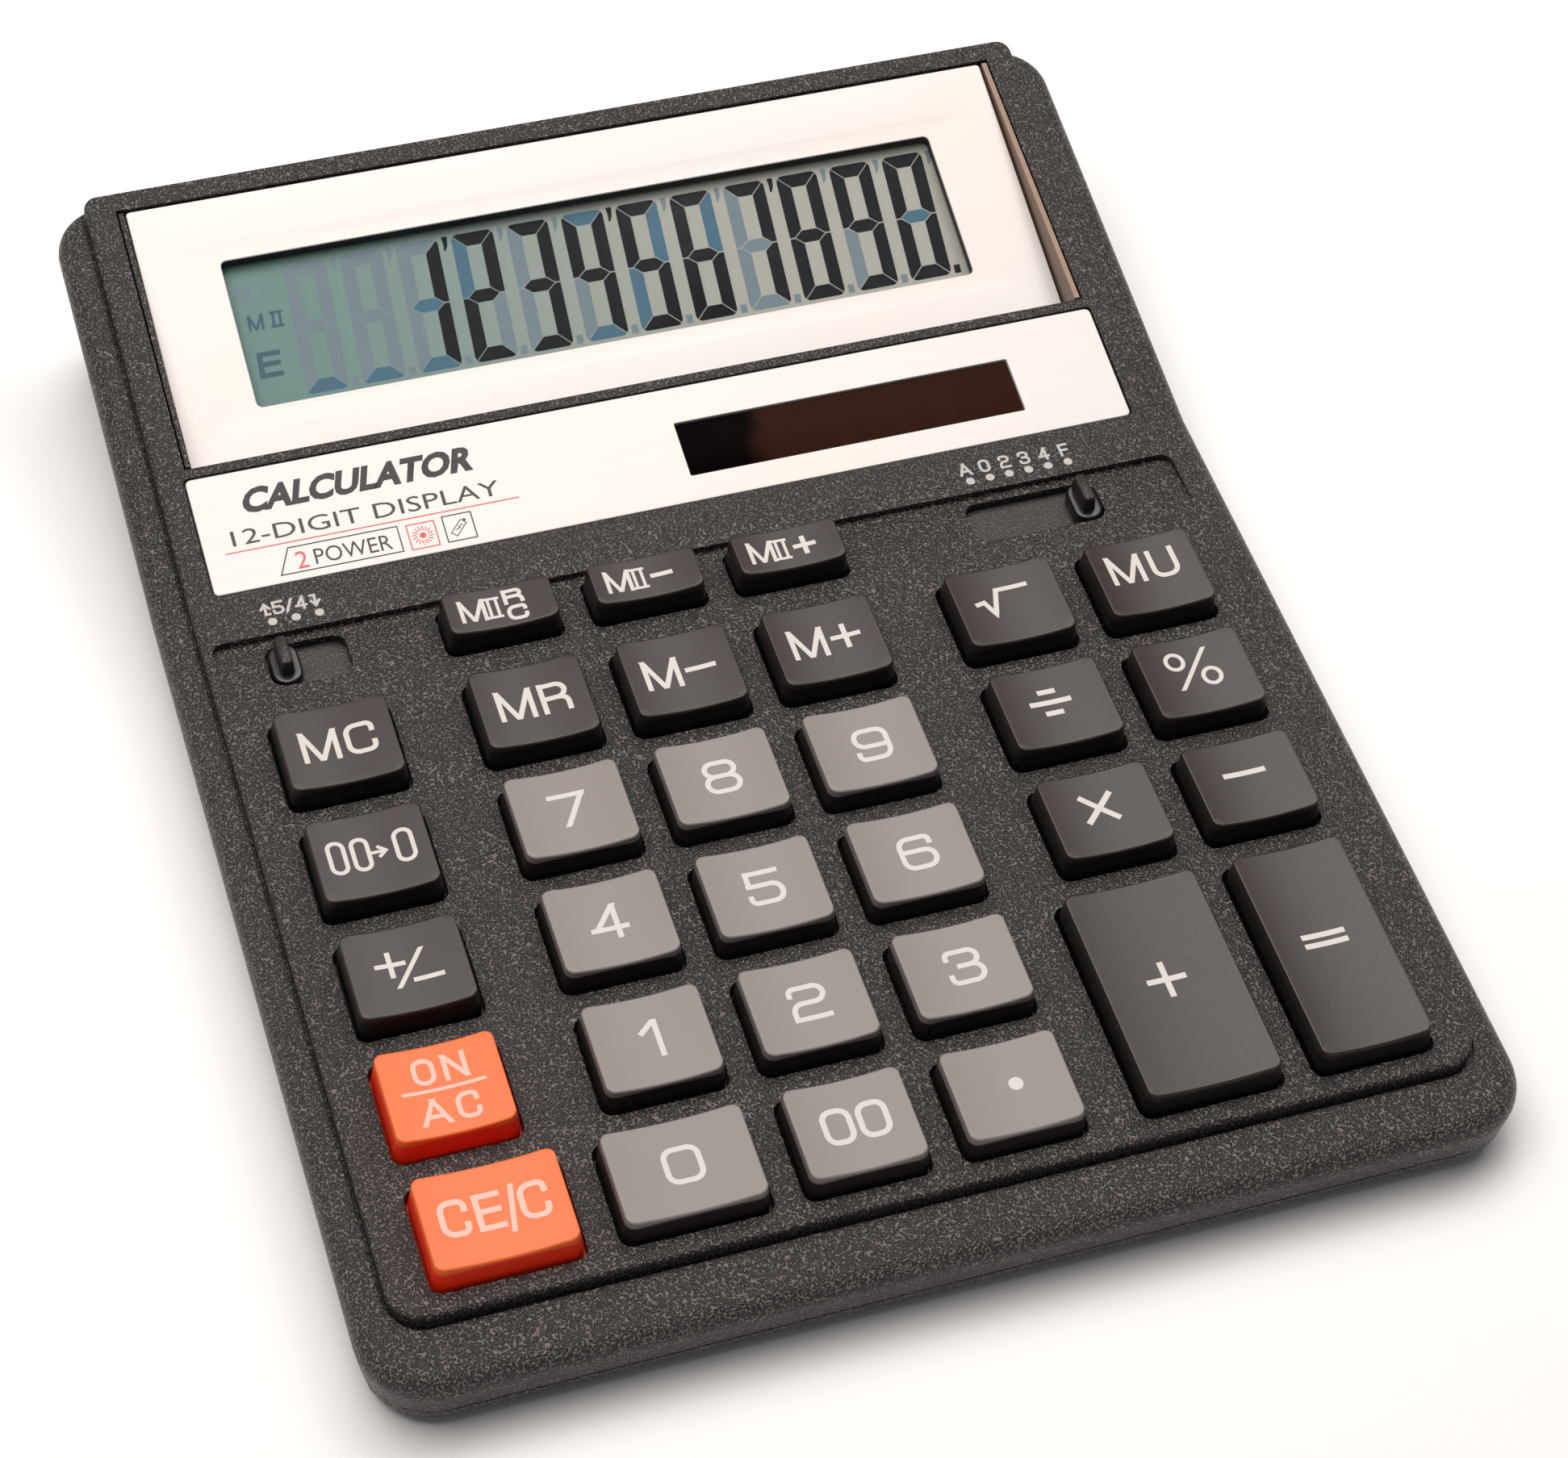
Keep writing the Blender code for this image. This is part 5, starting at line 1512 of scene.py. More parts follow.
    def _trough(self) -> bpy.types.Object:
        """Cutter for the switch trough: deep at its back, shallow at its front."""
        middle = (self.trough_front + self.trough_back) / 2
        half = (self.trough_back - self.trough_front) / 2

        def floor(x: float, y: float) -> float:
            """Height of the trough's floor."""
            share = (y - self.trough_front) / (self.trough_back - self.trough_front)
            return -(0.25 + share * 0.85) * MM

        shape = Shape(KEYPAD)
        ring = shifted(rounded_rect(self.trough_half, half, self.trough_corner, 6), 0, middle)
        shape.prism(ring, floor, 3 * MM)
        return shape.settle("trough")

    def _slots(self, slots: Sequence[tuple[float, float]]) -> bpy.types.Object:
        """Cutter for the pill-shaped slots."""
        shape = Shape(KEYPAD)
        for left, right in slots:
            ring = rounded_rect((right - left) / 2, self.slot_depth / 2, self.knob_width / 2, 8)
            shape.prism(shifted(ring, (left + right) / 2, self.slot_y), -6 * MM, 4 * MM)
        return shape.settle("slots")

    def _pocket(self) -> bpy.types.Object:
        """Cutter for the bright strip's pocket."""
        middle = (self.strip_low + self.strip_high) / 2
        shape = Shape(DISPLAY)
        ring = rounded_rect(self.strip_half, (self.strip_high - self.strip_low) / 2, 0.9 * MM, 4)
        shape.prism(shifted(ring, 0, middle), -self.pocket, 5 * MM)
        return shape.settle("pocket")

    def _solar_gap(self) -> bpy.types.Object:
        """Cutter for the opening under the solar cell."""
        shape = Shape(DISPLAY)
        shape.prism(shifted(rounded_rect(*self.solar_half, 0.3 * MM, 2), *self.solar_middle), -6 * MM, 6 * MM)
        return shape.settle("solar_gap")

    def _screen_seat(self) -> tuple[bpy.types.Object, bpy.types.Object, bpy.types.Object]:
        """The walls below the display frame, and the cutters for the leaning recess and its opening."""
        rib = 1.5 * MM
        low = -self.seat - 1.5 * MM
        back = SCREEN.local(DISPLAY.matrix @ Vector((0, SCREEN_TOP_Y + rib, -CASE.wall / 2)))
        front = SCREEN.local(DISPLAY.matrix @ Vector((0, CASE.screen_start - rib, -CASE.wall / 2)))
        edge = SCREEN.local(DISPLAY.matrix @ Vector((0, CASE.screen_start, CASE.wall)))
        end = -CASE.screen_length
        seat = Shape(SCREEN)
        seat.side_prism(
            [(back.y, low), (back.y, back.z), (front.y, front.z), (end - rib, low)],
            -self.screen_half - rib,
            self.screen_half + rib,
        )
        opening = Shape(SCREEN)
        opening.side_prism(
            [(0.0, -self.seat), (0.0, 3 * CASE.wall), (edge.y, edge.z + CASE.wall), (end, -self.seat)],
            -self.screen_half,
            self.screen_half,
        )
        through = Shape(SCREEN)
        ring = rounded_rect(self.screen_half - self.ledge, (-end - 2 * self.ledge) / 2, 0.5 * MM, 2)
        through.prism(shifted(ring, 0, end / 2), -16 * MM, 2 * MM)
        return seat.settle("seat"), opening.settle("opening"), through.settle("through")


# Switches


@dataclass(frozen=True)
class Switch:
    """A slide switch: glossy oval button with a grained fin, on a plate under the case.

    Attributes:
        node: The CAD node it stands for.
        x: Where it stands at rest.
        slot: Lowest and highest x of its slot.
    """

    node: str
    x: float
    slot: tuple[float, float]

    half_width: float = 2.2 * MM
    half_depth: float = 3.65 * MM
    button_top: float = -0.2 * MM
    button_edge: float = 0.45 * MM
    plate_top: float = -2.3 * MM
    plate_low: float = -3.2 * MM
    plate_lap: float = 0.9 * MM
    inside: float = 72.5 * MM
    fin_half: float = 0.95 * MM
    fin_front: float = -2.05 * MM
    fin_back: float = 3.25 * MM
    slot_y: float = -14.1 * MM

    def build(self) -> bpy.types.Object:
        """Make the knob.

        Returns:
            The finished knob.
        """
        shape = Shape(Plane(KEYPAD.matrix @ Vector((self.x, self.slot_y, 0)), KEYPAD.slope))
        reach = self.slot[1] - self.slot[0] + CASE.gap
        left = -min(reach, self.x + self.inside)
        right = min(reach, self.inside - self.x)
        deep = self.half_depth + self.plate_lap
        plate = shifted(rounded_rect((right - left) / 2, deep, 0.4 * MM, 2), (left + right) / 2, 0)
        shape.prism(plate, self.plate_low, self.plate_top, slot=1)
        sections = [(self._oval(0), self.plate_top - 0.1 * MM), (self._oval(0), self.button_top - self.button_edge)]
        for step in range(1, 5):
            turn = math.radians(90 * step / 4)
            drop = self.button_edge * (1 - math.sin(turn))
            sections.append((self._oval(self.button_edge * (1 - math.cos(turn))), self.button_top - drop))
        sections.append((self._oval(self.half_width * 0.6), self.button_top - 0.06 * MM))
        shape.stack(sections)
        shape.stack(self._fin(), slot=1)
        knob = shape.settle(self.node.replace("_knob", "_slider"), KNOB_BLACK, FIN_BLACK, smooth=45.0)
        return knob

    def _oval(self, inset: float) -> list[Point2]:
        """The button's plan, drawn in by an inset."""
        half = self.half_width - inset
        return rounded_rect(half, self.half_depth - inset, half * 0.995, 8)

    def _fin(self) -> list[tuple[list[Point2], float]]:
        """Sections of the fin, with softened top edges."""
        middle = (self.fin_front + self.fin_back) / 2
        half_y = (self.fin_back - self.fin_front) / 2
        sections = []
        for inset, height in ((-0.12, -0.8), (0.0, 1.0), (0.06, 1.8), (0.14, 2.05), (0.32, 2.2)):
            ring = rounded_rect(self.fin_half - inset * MM, half_y - inset * MM, 0.5 * MM, 4)
            sections.append((shifted(ring, 0, middle), height * MM))
        return sections


ROUNDING = Switch("rounding_switch_knob", -63.4 * MM, (-65.9 * MM, -54.1 * MM))
DECIMAL = Switch("decimal_switch_knob", 57.4 * MM, (39.4 * MM, 59.9 * MM))


@dataclass(frozen=True)
class SwitchScales:
    """Dots and symbols printed above the two slots."""

    dots: tuple[float, ...] = (-63.4, -60.0, -56.6, 42.1, 45.2, 48.25, 51.35, 54.45, 57.6)
    dots_y: float = -6.4 * MM
    dot: float = 1.35 * MM
    text_y: float = -4.0 * MM
    text: float = 2.5 * MM
    weight: float = 0.42 * MM
    rounding: tuple[tuple[str, float, float], ...] = (
        ("^", -64.1, 1.7), ("5", -62.1, 1.75), ("/", -60.5, 1.3), ("4", -58.8, 1.8), ("_", -56.6, 1.7)
    )
    decimal: tuple[tuple[str, float, float], ...] = (
        ("A", 42.0, 2.0), ("0", 45.1, 1.75), ("2", 48.3, 1.75), ("3", 51.4, 1.75), ("4", 54.5, 1.8), ("F", 57.8, 1.6)
    )

    def build(self) -> list[bpy.types.Object]:
        """Make the dots and the symbols.

        Returns:
            The two printed pieces.
        """
        disc = Shape()
        ring = rounded_rect(self.dot / 2, self.dot / 2, self.dot / 2 * 0.999, 5)
        disc.prism(ring, -0.05 * MM, 0.016 * MM)
        piece = disc.settle("dot_piece", SCALE_GREY)
        piece.data.transform(KEYPAD.matrix.to_3x3().to_4x4())
        places = [KEYPAD.matrix @ Vector((x * MM, self.dots_y, 0)) for x in self.dots]
        dots = REPEATER.spread("scale_dots", piece, places, SCALE_GREY)
        shape = Shape(KEYPAD)
        printer = Lettering(shape, lambda x, y: 0.0, 0.012 * MM)
        for symbol, x, width in self.rounding + self.decimal:
            printer.put(Mark(symbol, x * MM, self.text_y, width * MM, self.text, self.weight))
        return [dots, shape.settle("scale_symbols", SCALE_GREY)]


# Screen


@dataclass(frozen=True)
class Segments:
    """A seven-segment digit in millimetres round its middle, and where the digits stand.

    Attributes:
        lit: Lit segments of each digit.
        digits: The digits shown, left to right, blank first.
    """

    lit: dict[str, str] = field(default_factory=lambda: {
        "0": "abcdef", "1": "bc", "2": "abged", "3": "abgcd", "4": "fgbc", "5": "afgcd",
        "6": "afgedc", "7": "abc", "8": "abcdefg", "9": "abcfgd", " ": "",
    })
    digits: str = "  1234567890"
    commas: tuple[int, ...] = (2, 5, 8)
    blue: tuple[str, ...] = ("0d", "1d", "2d", "3f", "5a", "5d", "6b", "6e", "7b", "11g", "2g")
    top_bar: tuple[Point2, ...] = (
        (-2.5, 10.5), (2.5, 10.5), (2.98, 10.22), (1.12, 8.36), (-1.12, 8.36), (-2.98, 10.22)
    )
    side_bar: tuple[Point2, ...] = ((3.08, 10.12), (3.3, 9.6), (3.3, 0.11), (2.5, 0.11), (1.2, 1.22), (1.2, 8.24))
    middle_bar: tuple[Point2, ...] = (
        (-2.4, 0.0), (-1.2, 1.02), (1.2, 1.02), (2.4, 0.0), (1.2, -1.02), (-1.2, -1.02)
    )
    comma: tuple[Point2, ...] = ((3.95, 10.5), (4.85, 10.5), (4.75, 9.1), (4.3, 8.2), (4.05, 8.2), (4.1, 9.3))
    point: tuple[Point2, ...] = ((3.85, -10.5), (4.85, -10.5), (4.85, -9.1), (3.85, -9.1))

    def outline(self, segment: str) -> list[Point2]:
        """Outline of one segment.

        Args:
            segment: Its name: a to g clockwise from the top, comma or point.

        Returns:
            The outline in millimetres.
        """
        plain = {"a": self.top_bar, "g": self.middle_bar, "comma": self.comma, "point": self.point}
        if segment in plain:
            return list(plain[segment])
        if segment == "d":
            return [(x, -y) for x, y in self.top_bar]
        side = 1 if segment in "bc" else -1
        rise = 1 if segment in "bf" else -1
        return [(side * x, rise * y) for x, y in self.side_bar]


@dataclass(frozen=True)
class ScreenUnit:
    """Bright screen plate with its cheeks, clear lens, crystal and everything it shows."""

    half_width: float = 68.5 * MM
    outer_half: float = 69.6 * MM
    cheek: float = 0.8 * MM
    plate: float = 1.6 * MM
    plate_edge: float = 0.25 * MM
    window_x: float = 56.5 * MM
    window_y: float = 12.6 * MM
    window_top: float = -11.3 * MM
    window_corner: float = 0.9 * MM
    frame_x: float = 62.7 * MM
    frame_y: float = 16.0 * MM
    frame_corner: float = 2.6 * MM
    frame_slope: float = 0.45 * MM
    frame_depth: float = 0.2 * MM
    lip_low: float = -1.86 * MM
    lens_top: float = -1.9 * MM
    lens_low: float = -2.4 * MM
    crystal_top: float = -2.45 * MM
    crystal_low: float = -5.6 * MM
    pitch: float = 8.72 * MM
    last_x: float = 51.3 * MM
    digits_y: float = -23.7 * MM
    tall: float = 1.057
    slant: float = 0.07
    segments: Segments = field(default_factory=Segments)

    def build(self) -> list[bpy.types.Object]:
        """Make every piece of the screen.

        Returns:
            Plate, cheeks, lens, crystal and segments.
        """
        return [self._plate(), self._cheeks(), self._lens(), self._crystal(), self._picture()]

    def _plate(self) -> bpy.types.Object:
        """The plate with its pressed frame line and the dark edge of its window."""
        middle_y = (-CASE.gap - CASE.screen_length + CASE.gap) / 2
        window_y = self.window_top - self.window_y
        half_y = CASE.screen_length / 2 - CASE.gap

        def outer(inset: float) -> list[Point2]:
            """The outer outline, drawn in."""
            return shifted(rounded_rect(self.half_width - inset, half_y - inset, 0.6 * MM, 6), 0, middle_y)

        def window(grow: float) -> list[Point2]:
            """The window's outline, grown."""
            ring = rounded_rect(self.window_x + grow, self.window_y + grow, self.window_corner + grow, 6)
            return shifted(ring, 0, window_y)

        def frame_line(inset: float) -> list[Point2]:
            """The pressed line round the window, drawn in."""
            ring = rounded_rect(self.frame_x - inset, self.frame_y - inset, self.frame_corner - inset, 6)
            return shifted(ring, 0, window_y)

        rings = [
            (window(0.6 * MM), self.lip_low), (window(0.6 * MM), -self.plate), (outer(0), -self.plate),
            (outer(0), -self.plate_edge), (outer(0.3 * self.plate_edge), -0.3 * self.plate_edge),
            (outer(self.plate_edge), 0.0), (frame_line(0), 0.0), (frame_line(self.frame_slope), -self.frame_depth),
            (window(0.12 * MM), -self.frame_depth), (window(0), -self.frame_depth - 0.12 * MM),
            (window(0), self.lip_low),
        ]
        shape = Shape(SCREEN)
        shape.loft([[(x, y, z) for x, y in ring] for ring, z in rings], ring_shut=True)
        wall_x = self.frame_x - MM
        wall_z = -self.frame_depth - 0.1 * MM
        for face in shape.mesh.faces:
            if all(abs(vert.co.x) < wall_x and vert.co.z < wall_z for vert in face.verts):
                face.material_index = 1
        plate = shape.settle("screen_frame", PLATE_SILVER, PRINT_BLACK, smooth=25.0)
        keep_flats(plate)
        return plate

    def _cheeks(self) -> bpy.types.Object:
        """The wedge-shaped side walls of the recess."""
        gap = CASE.gap
        low = SCREEN.local(DISPLAY.matrix @ Vector((0, CASE.screen_start + gap, 0)))
        high = SCREEN.local(DISPLAY.matrix @ Vector((0, SCREEN_TOP_Y - 2 * gap, 0)))
        foot = -self.plate
        profile = [
            (-2 * gap, foot), (high.y, high.z - 0.05 * MM), (low.y, low.z - 0.05 * MM),
            (-CASE.screen_length + 2 * gap, foot),
        ]
        shape = Shape(SCREEN)
        for side, tone in ((-1, 1), (1, 0)):
            edges = sorted((side * self.outer_half, side * (self.outer_half - self.cheek)))
            shape.side_prism(profile, *edges, slot=tone)
        return shape.settle("screen_cheeks", CHEEK_BRONZE, CASE_BLACK)

    def _pane(self, name: str, margin: float, low: float, high: float, finish: Finish) -> bpy.types.Object:
        """A flat pane behind the window with softened edges.

        Args:
            name: The pane's name.
            margin: How far it reaches beyond the window.
            low: Its underside.
            high: Its face.
            finish: Its finish.

        Returns:
            The pane.
        """
        shape = Shape(SCREEN)
        edge = 0.12 * MM
        sections = []
        for inset, height in ((edge, low), (0.0, low + edge), (0.0, high - edge), (edge, high)):
            ring = rounded_rect(self.window_x + margin - inset, self.window_y + margin - inset, 0.6 * MM, 3)
            sections.append((shifted(ring, 0, self.window_top - self.window_y), height))
        shape.stack(sections)
        return shape.settle(name, finish)

    def _lens(self) -> bpy.types.Object:
        """The clear sheet behind the window."""
        return self._pane("clear_lens", 4.0 * MM, self.lens_low, self.lens_top, LENS_CLEAR)

    def _crystal(self) -> bpy.types.Object:
        """The liquid-crystal glass."""
        return self._pane("crystal_glass", 3.0 * MM, self.crystal_low, self.crystal_top, CRYSTAL)

    def _picture(self) -> bpy.types.Object:
        """Lit and unlit segments, commas, points and the small signs at the left."""
        shape = Shape(SCREEN)
        count = len(self.segments.digits)
        for cell, digit in enumerate(self.segments.digits):
            x = self.last_x - (count - 1 - cell) * self.pitch
            for segment in "abcdefg":
                lit = segment in self.segments.lit[digit]
                blue = f"{cell}{segment}" in self.segments.blue
                self._segment(shape, self.segments.outline(segment), x, 0 if lit else (1 if blue else 2))
            self._segment(shape, self.segments.outline("comma"), x, 0 if cell in self.segments.commas else 2)
            self._segment(shape, self.segments.outline("point"), x, 0 if cell == count - 1 else 2)
        faint = Lettering(shape, lambda x, y: self.crystal_top, 0.006 * MM, slot=2)
        marked = Lettering(shape, lambda x, y: self.crystal_top, 0.008 * MM, slot=3)
        for printer, symbol, x, y, width, height, weight in (
            (faint, "M", 2.4, -16.3, 2.2, 2.6, 0.42),
            (faint, "I", 5.2, -16.3, 0.9, 2.6, 0.42),
            (marked, "M", 3.2, -21.3, 2.4, 2.8, 0.42),
            (marked, "Y", 6.4, -21.3, 1.7, 2.8, 0.42),
            (marked, "E", 3.7, -28.6, 3.6, 4.4, 0.85),
        ):
            left = x * MM - self.window_x
            printer.put(Mark(symbol, left, y * MM, width * MM, height * MM, weight * MM, self.slant))
        return shape.settle("crystal_segments", SEGMENT_DARK, SEGMENT_BLUE, SEGMENT_FAINT, SEGMENT_MARK)

    def _segment(self, shape: Shape, outline: Sequence[Point2], x: float, slot: int) -> None:
        """Add one segment to the picture.

        Args:
            shape: The picture's shape.
            outline: The segment's outline in millimetres.
            x: Middle of its digit.
            slot: 0 for lit, 1 and 2 for the unlit tones.
        """
        ring = [(x + (px + self.slant * py) * MM, self.digits_y + self.tall * py * MM) for px, py in outline]
        lift = (0.012, 0.006, 0.005)[slot] * MM
        shape.prism(ring, self.crystal_top - 0.04 * MM, self.crystal_top + lift, slot)


# Bright strip


@dataclass(frozen=True)
class Words:
    """One line of print in the built-in letters.

    Attributes:
        text: What it says.
        left: Where it starts on the strip.
        base: Its base line.
        width: Its whole width.
        height: Height of its capitals.
        bold: How far the letters are thickened.
        lean: Slant to the right.
    """

    text: str
    left: float
    base: float
    width: float
    height: float
    bold: float = 0.0
    lean: float = 0.0

    def put(self, shape: Shape, slot: int, low: float, high: float) -> None:
        """Add the words to a shape as thin solids.

        Args:
            shape: The shape.
            slot: Material slot.
            low: Underside of the print.
            high: Top of the print.
        """
        curve = bpy.data.curves.new("words", "FONT")
        curve.body = self.text
        curve.resolution_u = 3
        curve.extrude = 0.5
        curve.offset = self.bold
        curve.fill_mode = "BOTH"
        holder = bpy.data.objects.new("words", curve)
        data = bpy.data.meshes.new_from_object(holder)
        corners = [vert.co for vert in data.vertices]
        least = Vector([min(co[axis] for co in corners) for axis in range(2)])
        most = Vector([max(co[axis] for co in corners) for axis in range(2)])
        for vert in data.vertices:
            share = Vector((vert.co.x - least.x, vert.co.y - least.y))
            x = self.left + share.x / (most.x - least.x) * self.width
            y = share.y / (most.y - least.y) * self.height
            vert.co = (x + self.lean * y, self.base + y, high if vert.co.z > 0 else low)
        before = len(shape.mesh.faces)
        shape.mesh.from_mesh(data)
        shape.mesh.faces.ensure_lookup_table()
        for face in shape.mesh.faces[before:]:
            face.material_index = slot
        bmesh.ops.remove_doubles(shape.mesh, verts=shape.mesh.verts, dist=0.0001 * MM)
        bpy.data.objects.remove(holder)
        bpy.data.curves.remove(curve)
        bpy.data.meshes.remove(data)


@dataclass(frozen=True)
class BrightStrip:
    """The bright strip with its print, and the solar cell in its window."""

    half_width: float = 70.3 * MM
    low_y: float = 0.2 * MM
    high_y: float = 20.2 * MM
    thick: float = 0.7 * MM
    corner: float = 0.8 * MM
    edge: float = 0.22 * MM
    solar_x: float = 28.35 * MM
    solar_y: float = 9.3 * MM
    solar_half_x: float = 26.35 * MM
    solar_half_y: float = 4.7 * MM
    solar_lap: float = 1.2 * MM
    print_lift: float = 0.014 * MM
    words: tuple[Words, ...] = (
        Words("CALCULATOR", -63.6 * MM, 12.7 * MM, 34.6 * MM, 4.3 * MM, bold=0.045, lean=0.3),
        Words("12-DIGIT DISPLAY", -65.9 * MM, 7.7 * MM, 39.8 * MM, 2.6 * MM),
        Words("POWER", -55.0 * MM, 2.2 * MM, 11.4 * MM, 2.6 * MM),
    )

    def build(self) -> list[bpy.types.Object]:
        """Make the strip, its print and the solar cell.

        Returns:
            The three pieces.
        """
        return [self._strip(), self._print(), self._cell()]

    def _strip(self) -> bpy.types.Object:
        """The strip with its window."""
        middle = (self.low_y + self.high_y) / 2
        half_y = (self.high_y - self.low_y) / 2

        def outer(inset: float) -> list[Point2]:
            """The outer outline, drawn in."""
            return shifted(rounded_rect(self.half_width - inset, half_y - inset, self.corner, 4), 0, middle)

        def window(grow: float) -> list[Point2]:
            """The window's outline, grown."""
            ring = rounded_rect(self.solar_half_x + grow, self.solar_half_y + grow, 0.25 * MM + grow, 4)
            return shifted(ring, self.solar_x, self.solar_y)

        rings = [
            (window(0), -self.thick), (outer(0), -self.thick), (outer(0), -self.edge),
            (outer(0.3 * self.edge), -0.3 * self.edge), (outer(self.edge), 0.0),
            (window(0.08 * MM), 0.0), (window(0), -0.08 * MM),
        ]
        shape = Shape(DISPLAY)
        shape.loft([[(x, y, z) for x, y in ring] for ring, z in rings], ring_shut=True)
        strip = shape.settle("bright_strip", STRIP_SILVER, smooth=25.0)
        keep_flats(strip)
        return strip

    def _print(self) -> bpy.types.Object:
        """Words, the line below them and the three boxes for the two kinds of power."""
        shape = Shape(DISPLAY)
        low, high = -PRINT_ROOT, self.print_lift
        for words, slot in zip(self.words, (0, 1, 1)):
            words.put(shape, slot, low, high)
        Words("2", -57.7 * MM, 2.0 * MM, 1.7 * MM, 2.9 * MM).put(shape, 2, low, high)
        grey = Lettering(shape, lambda x, y: 0.0, self.print_lift, slot=1)
        red = Lettering(shape, lambda x, y: 0.0, self.print_lift, slot=2)
        line = 0.2 * MM
        self._outline(grey, ((-60.3, 1.5), (-42.3, 1.5), (-42.3, 5.8), (-58.4, 5.8)), line)
        self._outline(red, ((-41.0, 1.4), (-36.9, 1.4), (-36.9, 5.6), (-41.0, 5.6)), line)
        self._outline(grey, ((-35.6, 1.5), (-31.3, 1.5), (-31.3, 5.9), (-35.6, 5.9)), line)
        red.draw([Vector((-67.3 * MM, 6.7 * MM)), Vector((-23.7 * MM, 6.7 * MM))], line)
        self._sun(red, -38.95 * MM, 3.5 * MM)
        self._battery(grey)
        return shape.settle("strip_print", PRINT_BLACK, PRINT_GREY, PRINT_RED)

    @staticmethod
    def _outline(printer: Lettering, corners: Sequence[Point2], line: float) -> None:
        """Print a thin closed outline through corners in millimetres."""
        printer.draw([Vector(corner) * MM for corner in corners], line, shut=True)

    @staticmethod
    def _sun(printer: Lettering, x: float, y: float) -> None:
        """Print a sun: a disc in a ring of rays."""
        printer.put(Mark("o", x, y, 1.0 * MM, 1.0 * MM))
        for ray in range(16):
            turn = 2 * math.pi * ray / 16
            start = Vector((math.cos(turn), math.sin(turn))) * 0.85 * MM
            end = Vector((math.cos(turn + 0.3), math.sin(turn + 0.3))) * 1.6 * MM
            printer.draw([start, end], 0.16 * MM, x=x, y=y)

    @staticmethod
    def _battery(printer: Lettering) -> None:
        """Print a leaning cell with its cap and a spark across it.

        Args:
            printer: What prints it.
        """
        line = 0.14 * MM
        turn = Matrix.Rotation(math.radians(-42), 2)
        centre = Vector((-33.45, 3.7))

        def placed(points: Sequence[Point2]) -> list[Vector]:
            """Corners in millimetres, turned and set on the strip."""
            return [(centre + turn @ Vector(point)) * MM for point in points]

        printer.draw(placed(((-0.5, -1.5), (0.5, -1.5), (0.5, 1.2), (-0.5, 1.2))), line, shut=True)
        printer.draw(placed(((-0.2, 1.45), (0.2, 1.45))), 2.5 * line)
        printer.draw(placed(((-0.2, -0.7), (0.15, -0.05), (-0.15, 0.05), (0.2, 0.7))), line)

    def _cell(self) -> bpy.types.Object:
        """The solar cell: a plate behind the strip whose glass fills the window."""
        shape = Shape(DISPLAY)
        wide = self.solar_half_x + self.solar_lap
        deep = self.solar_half_y + self.solar_lap
        glass = (self.solar_half_x - 0.12 * MM, self.solar_half_y - 0.12 * MM)
        sections = []
        for half, height, corner in (
            ((wide, deep), -2.35, 0.4), ((wide, deep), -1.15, 0.4), (glass, -1.15, 0.2), (glass, -0.5, 0.2),
            ((glass[0] - 0.1 * MM, glass[1] - 0.1 * MM), -0.42, 0.2),
        ):
            ring = shifted(rounded_rect(*half, corner * MM, 3), self.solar_x, self.solar_y)
            sections.append((ring, height * MM))
        shape.stack(sections)
        return shape.settle("solar_panel", SOLAR)


# Underside and inside


